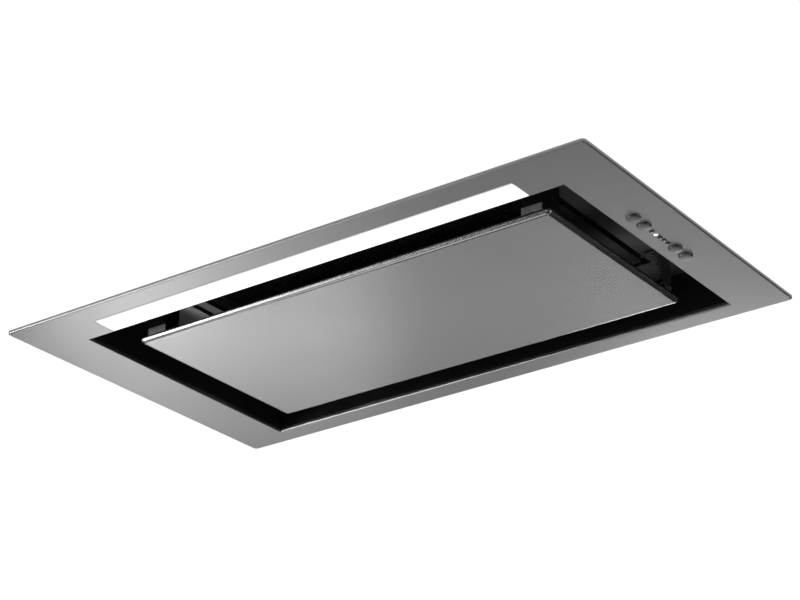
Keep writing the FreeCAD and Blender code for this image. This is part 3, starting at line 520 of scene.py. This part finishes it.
# %% Soften the folded sheets and mouldings
SOFT_EDGES_MM = {
    "recess_liner": 0.3, "outer_casing": 0.5, "roof_plate": 0.3, "filter_deck": 0.3, "filter_seat": 0.25,
    "panel_catch_left": 0.4, "panel_catch_right": 0.4,
    "panel_hinge_arm_left": 0.25, "panel_hinge_arm_right": 0.25,
    "panel_hinge_bracket_left": 0.3, "panel_hinge_bracket_right": 0.3,
    "filter_frame": 0.2, "filter_pull": 0.2, "hanger_brackets": 0.3, "light_driver": 0.8,
    "terminal_box": 0.6, "terminal_cover": 0.5, "terminal_block": 0.4, "cable_gland": 0.4, "gland_nut": 0.4,
    "run_capacitor": 0.8, "control_housing": 0.4, "outlet_collar": 0.25, "collar_flange": 0.25,
    "light_diffuser": 0.15, "light_housing": 0.2, "panel_backing": 0.2,
    "catch_magnets": 0.4, "filter_magnets": 0.4, "control_switches": 0.2,
    "motor_bracket": 0.3, "motor": 0.4, "panel_hinge_pins": 0.3, "filter_pins": 0.3, "flap_pin": 0.2,
    "motor_shaft": 0.3, "flap_front": 0.15, "flap_rear": 0.15, "volute_left": 0.3, "volute_right": 0.3,
    "motor_grommets": 0.5, "light_board": 0.1, "control_board": 0.1, "ceiling_gasket": 0.4,
}
for name, radius_mm in SOFT_EDGES_MM.items():
    softened(name, radius_mm * MM)
# painted light: the strikes take a much lighter zinc than the rest of the sheet
for side in ("left", "right"):
    softened("panel_strike_" + side, 0.25 * MM, lit_strike_zinc)

# %% [markdown]
# ## The face plate
# The plate turns up into the opening with a wider fold than its other edges have. That fold
# mirrors the boxes in front of the hood and is the bright line behind the recess. Only the long
# edges at the back and the sides get it: the strip fills the front, and the holes of the buttons
# are cut and not folded.

# %% The plate, with its fold round the opening
OPENING_FOLD_R = 1.4 * MM
SHORTEST_FOLD = 100 * MM
BEHIND_STRIP = strip_high.y + 10 * MM


def turns_up_into_opening(edge):
    """True for a long edge between the plate's face and the rim's inner face."""
    middle = (edge.verts[0].co + edge.verts[1].co) / 2
    if len(edge.link_faces) != 2 or edge.calc_length() < SHORTEST_FOLD or middle.y < BEHIND_STRIP:
        return False
    down, inward = sorted((face.normal for face in edge.link_faces), key=lambda normal: normal.z)
    return down.z < -0.9 and abs(inward.z) < 0.1 and inward.dot(middle) < 0


softened("face_frame", 0.4 * MM, is_fold=turns_up_into_opening, fold_radius=OPENING_FOLD_R)

# %% [markdown]
# ## Turned shapes
# Caps, lenses and washers are round. On a lathe they are one profile turned round an axis, and
# the spin operator does the same with a row of points. Its first and last ring are merged, and
# so are the points that meet on the axis.

# %% Lathe
def added(shape, known):
    """The vertices that came after the known ones."""
    return [v for v in shape.verts if v not in known]


def turned(shape, profile_mm, centre, steps=48):
    """Turn a profile of (radius, height) points once round a vertical axis through centre."""
    known = set(shape.verts)
    row = [shape.verts.new((radius * MM, 0.0, height * MM)) for radius, height in profile_mm]
    edges = [shape.edges.new(pair) for pair in zip(row, row[1:])]
    bmesh.ops.spin(shape, geom=row + edges, cent=(0, 0, 0), axis=(0, 0, 1), angle=math.tau, steps=steps,
                   use_merge=True)
    bmesh.ops.remove_doubles(shape, verts=added(shape, known), dist=SAME_PLACE / 10)
    fresh = added(shape, known)
    bmesh.ops.recalc_face_normals(shape, faces=list({f for v in fresh for f in v.link_faces}))
    bmesh.ops.translate(shape, verts=fresh, vec=centre)


def block(shape, low, high):
    """A box between two corners, in metres."""
    low, high = Vector(low), Vector(high)
    place = Matrix.Translation((low + high) / 2) @ Matrix.Diagonal((*(high - low), 1.0))
    return bmesh.ops.create_cube(shape, size=1.0, matrix=place)["verts"]


print("lathe ready")

# %% [markdown]
# ## The suction panel's skin
# The panel is what everyone sees, and its folded edge gives it away: not a crease but a full
# quarter round, along which the reflection of the room slides. A block gets its upright corners
# rounded, then its lower edge. The top is inset for the rim and opened, and the shell is given
# the sheet's thickness. A fold this round would cost the CAD solid many faces, so it is made here.

# %% A tray with a quarter-round fold
PANEL_FOLD_R = 4.2 * MM
PANEL_CORNER = 4.4 * MM
PANEL_RIM = 10.0 * MM
PANEL_SHEET = 1.0 * MM
skin_low, skin_high = corners("panel_skin")
tray = bmesh.new()
block(tray, skin_low, skin_high)
uprights = [e for e in tray.edges if abs(e.verts[0].co.z - e.verts[1].co.z) > MM]
rounded(tray, uprights, PANEL_CORNER, 6)
lower = [e for e in tray.edges if all(abs(v.co.z - skin_low.z) < SAME_PLACE for v in e.verts)]
rounded(tray, lower, PANEL_FOLD_R, 8)
lid = [max(tray.faces, key=lambda f: f.calc_center_median().z)]
bmesh.ops.inset_region(tray, faces=lid, thickness=PANEL_RIM, use_boundary=True)
bmesh.ops.delete(tray, geom=lid, context="FACES")
bmesh.ops.recalc_face_normals(tray, faces=tray.faces)
bmesh.ops.solidify(tray, geom=tray.faces, thickness=PANEL_SHEET)
reach = max(v.co.x for v in tray.verts)
print(f"panel reach {reach / MM:.2f} mm of {skin_high.x / MM:.2f}")
finished(tray, "panel_tray", "panel", stainless_panel, ["panel_skin"])

# %% [markdown]
# ## Push buttons
# A button is a turned steel cap on a flange that stops it behind the plate, with a square stem
# that reaches its switch. The cap's face is a low dome with a rounded rim, which makes it shade
# from dark to light across its width. The numbers are radii and heights in millimetres.

# %% Four buttons
CAP_R = 6.0
CAP_FRONT = -4.6
FLANGE_R = 6.7
FLANGE_FOOT = -1.7
FLANGE_TOP = -0.5
STEM = 3.2
STEM_SUNK = 0.2
CAP_DOME = [(0.0, 0.0), (1.5, 0.01), (3.0, 0.04), (4.2, 0.09), (CAP_R - 0.7, 0.16), (CAP_R - 0.35, 0.22),
            (CAP_R - 0.10, 0.36), (CAP_R, 0.60)]


def domed(front, dome, *rest):
    """A profile that starts with a dome, whose heights count from its front."""
    return [(radius, front + height) for radius, height in dome] + list(rest)


CAP_PROFILE = domed(CAP_FRONT, CAP_DOME, (CAP_R, FLANGE_FOOT), (FLANGE_R, FLANGE_FOOT),
                    (FLANGE_R, FLANGE_TOP), (0.0, FLANGE_TOP))
for number in (1, 2, 3, 4):
    name = f"button_{number}"
    low, high = corners(name)
    middle = (low + high) / 2
    shape = bmesh.new()
    turned(shape, CAP_PROFILE, (middle.x, middle.y, 0.0))
    half = STEM / 2 * MM
    block(shape, (middle.x - half, middle.y - half, (FLANGE_TOP - STEM_SUNK) * MM),
          (middle.x + half, middle.y + half, high.z))
    finished(shape, f"cap_{number}", body_of[name], shaded_button_steel, [name])

# %% [markdown]
# ## Indicators
# Five short light pipes stand between the buttons. Each is a clear rod with a domed end that
# stands a little proud. Four are dark; the second one is lit.

# %% Light pipes
LENS_R = 2.18
LENS_FRONT = -3.8
LENS_TOP = 10.9
LENS_PITCH = 6.8
LENS_STEPS = 32
LENS_DOME = [(0.0, 0.0), (1.0, 0.03), (1.7, 0.16), (2.05, 0.36), (LENS_R, 0.62)]
LENS_PROFILE = domed(LENS_FRONT, LENS_DOME, (LENS_R, LENS_TOP), (0.0, LENS_TOP))
dark = bmesh.new()
for step in (-1, 1, 2, 3):
    turned(dark, LENS_PROFILE, (lit_middle.x, lit_middle.y + step * LENS_PITCH * MM, 0.0), LENS_STEPS)
finished(dark, "dark_light_pipes", "hood", dark_lens, ["indicator_lenses"])
lit = bmesh.new()
turned(lit, LENS_PROFILE, (lit_middle.x, lit_middle.y, 0.0), LENS_STEPS)
finished(lit, "lit_light_pipe", "hood", lit_glow, ["lit_indicator_lens"])

# %% [markdown]
# ## Screws and bolts
# Sheet metal hoods are held by pan-head screws with a cross recess. A twelve-sided frustum makes
# the head. Its flat top is inset; pulling in every third corner of the inner face turns the
# twelve-gon into a cross, and pushing that face down cuts the recess.

# %% Moving what was just made
UP = Vector((0, 0, 1))
DOWN = (0, 0, -1)
BACKWARDS = (0, 1, 0)


def stood(shape, known, place, towards):
    """Move what came after the known vertices to its place, with its top towards a direction."""
    turn = UP.rotation_difference(Vector(towards)).to_matrix().to_4x4()
    bmesh.ops.transform(shape, matrix=Matrix.Translation(place) @ turn, verts=added(shape, known))


# %% A pan-head screw: sizes are in millimetres, or parts of the head's radius and height
HEAD_TAPER = 0.86
HEAD_EDGE = 0.38
HEAD_SIDES = 12
RECESS_IN = 0.08
RECESS_DEEP = 0.45
CROSS_WAIST = 0.42
NEAR_DIAGONAL = 0.1


def middle_height(face):
    return face.calc_center_median().z


def pan_head(shape, place, towards, radius=3.4, height=2.1):
    known = set(shape.verts)
    half_step = Matrix.Rotation(math.pi / HEAD_SIDES, 4, "Z")
    bmesh.ops.create_cone(shape, cap_ends=True, cap_tris=False, segments=HEAD_SIDES, radius1=radius * MM,
                          radius2=radius * HEAD_TAPER * MM, depth=height * MM,
                          matrix=Matrix.Translation((0, 0, height / 2 * MM)) @ half_step)
    top = max((f for v in added(shape, known) for f in v.link_faces), key=middle_height)
    made = bmesh.ops.bevel(shape, geom=list(top.edges), offset=height * HEAD_EDGE * MM, segments=2,
                           profile=0.5, affect="EDGES", material=-1)
    top = max(made["faces"] + [top] if top.is_valid else made["faces"],
              key=lambda f: (round(middle_height(f), 7), len(f.verts)))
    bmesh.ops.inset_region(shape, faces=[top], thickness=radius * RECESS_IN * MM, use_boundary=True)
    for corner in top.verts:
        if abs(abs(corner.co.x) - abs(corner.co.y)) < radius * NEAR_DIAGONAL * MM:
            corner.co.x *= CROSS_WAIST
            corner.co.y *= CROSS_WAIST
    sunk = bmesh.ops.extrude_face_region(shape, geom=[top])["geom"]
    bottom = [v for v in sunk if isinstance(v, bmesh.types.BMVert)]
    bmesh.ops.translate(shape, verts=bottom, vec=(0, 0, -height * RECESS_DEEP * MM))
    bmesh.ops.delete(shape, geom=[top], context="FACES_ONLY")
    stood(shape, known, place, towards)


# %% A hexagon bolt on its washer
WASHER_H = 1.0


def hex_bolt(shape, place, towards, across, height, washer):
    known = set(shape.verts)
    turned(shape, [(0.0, 0.0), (washer, 0.0), (washer, 0.7), (washer - 0.3, WASHER_H), (0.0, WASHER_H)],
           (0, 0, 0), 24)
    corner_r = across / math.sqrt(3) * MM
    head = bmesh.ops.create_cone(shape, cap_ends=True, cap_tris=False, segments=6, radius1=corner_r,
                                 radius2=corner_r, depth=height * MM,
                                 matrix=Matrix.Translation((0, 0, (WASHER_H + height / 2) * MM)))
    near_top = (WASHER_H + height - 0.1) * MM
    rim = {e for v in head["verts"] for e in v.link_edges if all(u.co.z > near_top for u in e.verts)}
    rounded(shape, list(rim), 0.5 * MM)
    stood(shape, known, place, towards)


print("fasteners ready")

# %% [markdown]
# ## Where the screws go
# Under the deck, each hinge bracket and each catch hangs on screws. On the roof they run round
# the edge, where the lid meets the casing's folded flange, and round the collar's foot. The
# hanger brackets carry the whole weight, so they have bolts with washers.

# %% Screws of the recess
FOOT_SHEET = 2.0 * MM
FOOT_OFF_MIDDLE = 1.5 * MM
FOOT_SCREW_IN = 4.5 * MM
recess_screws = bmesh.new()
for side, sign in (("left", -1), ("right", 1)):
    low, high = corners("panel_hinge_bracket_" + side)
    foot_x = (low.x + high.x) / 2 - sign * FOOT_OFF_MIDDLE
    for y in (low.y + FOOT_SCREW_IN, high.y - FOOT_SCREW_IN):
        pan_head(recess_screws, (foot_x, y, high.z - FOOT_SHEET), DOWN, 2.8, 1.8)
    low, high = corners("panel_catch_" + side)
    middle = (low + high) / 2
    pan_head(recess_screws, (middle.x, middle.y, high.z - FOOT_SHEET), DOWN, 3.2, 1.9)
finished(recess_screws, "recess_screws", "hood", bright_steel)

# %% Screws of the deck, driven from below through the filter seat's foot
SEAT_FOOT_IN = 4.0 * MM
deck_z = corners("filter_deck")[0].z
seat_low, seat_high = corners("filter_seat")
seat_screws = bmesh.new()
for x in (seat_low.x + SEAT_FOOT_IN, 0.0, seat_high.x - SEAT_FOOT_IN):
    for y in (seat_low.y + SEAT_FOOT_IN, seat_high.y - SEAT_FOOT_IN):
        pan_head(seat_screws, (x, y, deck_z), DOWN, 2.6, 1.6)
finished(seat_screws, "seat_screws", "hood", bright_steel)

# %% Screws of the roof
EDGE_IN = 8.0 * MM
LONG_SIDE_SCREWS_X = [x * MM for x in (-190, -65, 65, 190)]
SHORT_SIDE_SCREWS_Y = [y * MM for y in (-70, 70)]
COLLAR_SCREW_R = 80.5 * MM
COLLAR_SCREWS = 6
roof_low, roof_high = corners("roof_plate")
roof_screws = bmesh.new()
for x in LONG_SIDE_SCREWS_X:
    for y in (roof_low.y + EDGE_IN, roof_high.y - EDGE_IN):
        pan_head(roof_screws, (x, y, roof_high.z), UP)
for y in SHORT_SIDE_SCREWS_Y:
    for x in (roof_low.x + EDGE_IN, roof_high.x - EDGE_IN):
        pan_head(roof_screws, (x, y, roof_high.z), UP)
collar_low, collar_high = corners("collar_flange")
collar_middle = (collar_low + collar_high) / 2
for k in range(COLLAR_SCREWS):
    angle = math.tau * (k + 0.5) / COLLAR_SCREWS
    pan_head(roof_screws, (collar_middle.x + COLLAR_SCREW_R * math.cos(angle),
                           collar_middle.y + COLLAR_SCREW_R * math.sin(angle), collar_high.z), UP, 3.0, 1.9)
finished(roof_screws, "roof_screws", "hood", bright_steel)

# %% Bolts of the hanger brackets
BOLT_X = 234.5 * MM
BOLTS_Y = [y * MM for y in (-134, -116, 116, 134)]
hanger_bolts = bmesh.new()
for x in (-BOLT_X, BOLT_X):
    for y in BOLTS_Y:
        hex_bolt(hanger_bolts, (x, y, roof_high.z + FOOT_SHEET), UP, 8.0, 3.4, 5.2)
finished(hanger_bolts, "hanger_bolts", "hood", bright_steel)

# %% [markdown]
# ## The casing's sides
# A thin wall this large would drum, so the press puts shallow beads into it. The wrapper is one
# strip folded four times and lapped at the back, where spot welds leave small round dimples.

# %% Beads
BEAD_H = 1.2 * MM
BEAD_W = 9.0 * MM
BEADS_Z = [z * MM for z in (75, 150, 225)]
LONG_WALL_BEAD = 220 * MM
LONG_WALL_BEAD_X = 135 * MM
SHORT_WALL_BEAD = 240 * MM
case_low, case_high = corners("outer_casing")


def bead(shape, axis, centre, length):
    """A long pill, half sunk in the wall: axis is the wall's normal, 0 for X and 1 for Y."""
    size = Vector((length, length, BEAD_W))
    size[axis] = 2 * BEAD_H
    made = block(shape, Vector(centre) - size / 2, Vector(centre) + size / 2)
    rounded(shape, list({e for v in made for e in v.link_edges}), BEAD_H * 0.98, 4)


beads = bmesh.new()
for z in BEADS_Z:
    for y in (case_low.y, case_high.y):
        for x in (-LONG_WALL_BEAD_X, LONG_WALL_BEAD_X):
            bead(beads, 1, (x, y, z), LONG_WALL_BEAD)
    for x in (case_low.x, case_high.x):
        bead(beads, 0, (x, 0.0, z), SHORT_WALL_BEAD)
finished(beads, "casing_beads", "hood", lit_casing_zinc)

# %% Lap seam and spot welds
SEAM_W = 14.0 * MM
SEAM_T = 0.8 * MM
WELDS = 9
WELD_PROFILE = [(0.0, 0.10), (1.6, 0.12), (2.3, 0.30), (3.0, 0.12), (3.2, -0.1), (0.0, -0.1)]
seam = bmesh.new()
block(seam, (-SEAM_W / 2, case_high.y - 0.2 * MM, case_low.z + 3 * MM),
      (SEAM_W / 2, case_high.y + SEAM_T, case_high.z - 1 * MM))
rounded(seam, seam.edges[:], 0.25 * MM)
for k in range(WELDS):
    known = set(seam.verts)
    turned(seam, WELD_PROFILE, (0, 0, 0), 20)
    weld_z = case_low.z + (case_high.z - case_low.z) * (k + 0.7) / WELDS
    stood(seam, known, (0, case_high.y + SEAM_T, weld_z), BACKWARDS)
finished(seam, "casing_seam", "hood", lit_casing_zinc)

# %% [markdown]
# ## The grease filter
# The filter is a sandwich: two sheets of expanded aluminium with layers of knitted mesh between
# them. An expanded sheet is a grid of diamonds. A square grid turned by 45 degrees and stretched
# gives the diamonds, planes cut it to the window, and the wireframe operator turns its edges
# into strands.

# %% Expanded sheets
STRAND = 0.75 * MM
DIAMOND_X = 9.0 * MM
DIAMOND_Y = 5.0 * MM
mesh_low, mesh_high = corners("filter_mesh")
mesh_middle = (mesh_low + mesh_high) / 2
mesh_half = (mesh_high - mesh_low) / 2


def expanded_sheet(shape, z):
    known = set(shape.verts)
    across = int(mesh_half.x / DIAMOND_X + mesh_half.y / DIAMOND_Y) + 2
    place = (Matrix.Translation((mesh_middle.x, mesh_middle.y, z))
             @ Matrix.Diagonal((DIAMOND_X / math.sqrt(2), DIAMOND_Y / math.sqrt(2), 1, 1))
             @ Matrix.Rotation(math.radians(45), 4, "Z"))
    bmesh.ops.create_grid(shape, x_segments=2 * across, y_segments=2 * across, size=across, matrix=place)
    for axis, sign in ((0, -1), (0, 1), (1, -1), (1, 1)):
        normal = Vector((0, 0, 0))
        normal[axis] = sign
        fresh = added(shape, known)
        edges = {e for v in fresh for e in v.link_edges}
        faces = {f for v in fresh for f in v.link_faces}
        bmesh.ops.bisect_plane(shape, geom=fresh + list(edges) + list(faces), plane_no=normal,
                               plane_co=mesh_middle + normal * mesh_half[axis], clear_outer=True)
    faces = {f for v in added(shape, known) for f in v.link_faces}
    bmesh.ops.wireframe(shape, faces=list(faces), thickness=STRAND, use_replace=True, use_boundary=True,
                        use_even_offset=True)


sheets = bmesh.new()
expanded_sheet(sheets, mesh_low.z + STRAND / 2)
expanded_sheet(sheets, mesh_high.z - STRAND / 2)
bmesh.ops.recalc_face_normals(sheets, faces=sheets.faces)
finished(sheets, "expanded_sheets", "filter", shaded_mesh_sheet)

# %% Knitted layers between them
KNIT_THINNER = 0.62
knit = merged_copy("filter_mesh")
bmesh.ops.scale(knit, vec=(1, 1, KNIT_THINNER), space=Matrix.Translation(-mesh_middle), verts=knit.verts)
finished(knit, "knitted_layers", "filter", shaded_mesh_wire, ["filter_mesh"])

# %% [markdown]
# ## The studio
# The photograph has a white background with nothing in it, and the plate lies on a ceiling. A
# glowing white sheet at ceiling height hides the box above, as a real ceiling does; seen from
# above it is clear, so that the box can be looked at too. The floor lies a room's height below.

# %% A flat sheet of the stage
CEILING_Z = 0.4 * MM
CEILING_HALF = 3.0
CUTOUT = (290 * MM, 170 * MM)
WHITE = (1, 1, 1, 1)
CAMERA_WHITE = 1.05


def stage_sheet(name, half, z, hole=None):
    """A square of twice the half, with a hole of twice the two numbers in its middle."""
    shape = bmesh.new()
    bmesh.ops.create_grid(shape, x_segments=1, y_segments=1, size=half)
    if hole:
        bmesh.ops.inset_region(shape, faces=shape.faces[:], thickness=half / 2, use_boundary=True)
        inner = [min(shape.faces, key=lambda f: f.calc_center_median().length)]
        for corner in inner[0].verts:
            corner.co.x = math.copysign(hole[0], corner.co.x)
            corner.co.y = math.copysign(hole[1], corner.co.y)
        bmesh.ops.delete(shape, geom=inner, context="FACES")
    bmesh.ops.translate(shape, verts=shape.verts, vec=(0, 0, z))
    mesh = bpy.data.meshes.new(name)
    shape.to_mesh(mesh)
    shape.free()
    stage = bpy.data.objects.new(name, mesh)
    bpy.context.scene.collection.objects.link(stage)
    return stage


# %% The white ceiling that the camera sees
def ceiling_white(name, strength):
    """White light from below, and clear from above."""
    f = Finish(name)
    glow = f.node("ShaderNodeEmission", None, {"Color": WHITE, "Strength": strength})
    clear = f.node("ShaderNodeBsdfTransparent")
    behind = f.node("ShaderNodeNewGeometry", out="Backfacing")
    f.node_output(f.node("ShaderNodeMixShader", None, {0: behind, 1: glow, 2: clear}))
    return f.material


def ceiling_sheet(name, finish):
    """A ceiling whose face looks down."""
    sheet = stage_sheet(name, CEILING_HALF, CEILING_Z, CUTOUT)
    for face in sheet.data.polygons:
        face.flip()
    paint(sheet, finish)
    return sheet


ceiling = ceiling_sheet("ceiling", ceiling_white("ceiling_white", CAMERA_WHITE))
ceiling.visible_glossy = False
ceiling.visible_diffuse = False

# %% A dimmer ceiling for the reflections: the white one would bleach the plate's edge
reflected_ceiling = ceiling_sheet("reflected_ceiling", ceiling_white("ceiling_in_reflections", 0.36))
reflected_ceiling.visible_camera = False
reflected_ceiling.visible_shadow = False

# %% A pale floor, a room's height below, which doesn't light the hood
FLOOR_Z = -3.3
FLOOR_HALF = 12.0


def evenly_lit(name, strength):
    f = Finish(name)
    f.node_output(f.node("ShaderNodeEmission", None, {"Color": WHITE, "Strength": strength}))
    return f.material


floor = stage_sheet("floor", FLOOR_HALF, FLOOR_Z)
paint(floor, evenly_lit("pale_floor", 0.80))
floor.visible_glossy = False
floor.visible_diffuse = False
print("stage ready")

# %% Background: white for the camera, nearly dark for everything else
AMBIENT = 0.02
world = bpy.data.worlds.new("studio")
bpy.context.scene.world = world
world.use_nodes = True
tree = world.node_tree
tree.nodes.clear()


def world_node(kind, **inputs):
    made = tree.nodes.new(kind)
    for key, value in inputs.items():
        made.inputs[key].default_value = value
    return made


seen = world_node("ShaderNodeBackground", Color=WHITE, Strength=CAMERA_WHITE)
felt = world_node("ShaderNodeBackground", Color=WHITE, Strength=AMBIENT)
path = world_node("ShaderNodeLightPath")
pick = world_node("ShaderNodeMixShader")
result = world_node("ShaderNodeOutputWorld")
tree.links.new(path.outputs["Is Camera Ray"], pick.inputs[0])
tree.links.new(felt.outputs[0], pick.inputs[1])
tree.links.new(seen.outputs[0], pick.inputs[2])
tree.links.new(pick.outputs[0], result.inputs["Surface"])
bpy.context.scene.view_settings.view_transform = "Standard"
print("background ready")

# %% [markdown]
# ## Lights
# Steel shows what it mirrors. From the camera, the flat faces mirror the space behind the left
# end, some twenty-five degrees below the ceiling. A small key stands there, with weaker boxes
# beside it, so that the steel is pale at the left and fades towards the right. The folds mirror
# other directions: those that face the front run from below the left end round to the front left,
# where three boxes wait for them. Two larger boxes stand beyond the hood's ends, and three more
# serve the views from other sides. Most stand on one sphere round the hood, placed by two angles.

# %% Soft boxes
def soft_box(name, place, aim, width, height, watts):
    light = bpy.data.lights.new(name, "AREA")
    light.shape = "RECTANGLE"
    light.size = width
    light.size_y = height
    light.energy = watts
    lamp = bpy.data.objects.new(name, light)
    bpy.context.scene.collection.objects.link(lamp)
    facing = (Vector(aim) - Vector(place)).to_track_quat("-Z", "Y")
    lamp.matrix_world = Matrix.Translation(place) @ facing.to_matrix().to_4x4()
    lamp.visible_camera = False


LIGHT_DISTANCE = 2.2


def from_angles(azimuth, depression):
    """A place on a sphere round the hood: azimuth from +X, depression below the ceiling."""
    a, d = math.radians(azimuth), math.radians(depression)
    return (LIGHT_DISTANCE * math.cos(d) * math.cos(a), LIGHT_DISTANCE * math.cos(d) * math.sin(a),
            -LIGHT_DISTANCE * math.sin(d))


HOOD = (0.0, 0.0, 0.0)
soft_box("key", from_angles(141, 31), HOOD, 0.25, 0.25, 1.07)
soft_box("key_tail", from_angles(132, 25), HOOD, 0.50, 0.25, 0.60)
soft_box("back_middle", from_angles(117, 26), HOOD, 0.5, 0.5, 0.36)
soft_box("back_high", from_angles(106, 8), HOOD, 0.5, 0.5, 3.9)
soft_box("right_wall", (2.4, 0.6, -0.7), HOOD, 1.0, 1.0, 3.0)
soft_box("left_wall", (-2.4, -0.8, -0.5), HOOD, 1.0, 1.0, 1.8)
soft_box("front_high", from_angles(227, 7), HOOD, 0.5, 0.4, 6.0)
soft_box("front_low", from_angles(224, 30), HOOD, 0.6, 0.6, 4.0)
soft_box("below_left", from_angles(184, 60), HOOD, 1.3, 0.8, 2.7)
soft_box("for_views_from_behind", from_angles(280, 26), HOOD, 1.6, 1.0, 2.0)
soft_box("for_views_from_the_left", from_angles(22, 38), HOOD, 1.4, 1.0, 1.6)
soft_box("for_views_from_below", from_angles(95, 68), HOOD, 1.0, 1.0, 1.4)

# %% Lights above the ceiling, for the casing
BOX_MIDDLE = (0.0, 0.0, 0.15)
soft_box("roof_front", (1.4, -1.7, 2.4), BOX_MIDDLE, 1.4, 1.4, 44.0)
soft_box("roof_left", (-2.4, -0.6, 1.1), BOX_MIDDLE, 1.2, 1.2, 24.0)
soft_box("roof_back", (-0.6, 2.4, 1.3), BOX_MIDDLE, 1.8, 1.4, 42.0)
soft_box("roof_right", (2.4, 1.2, 0.6), BOX_MIDDLE, 1.4, 1.0, 26.0)
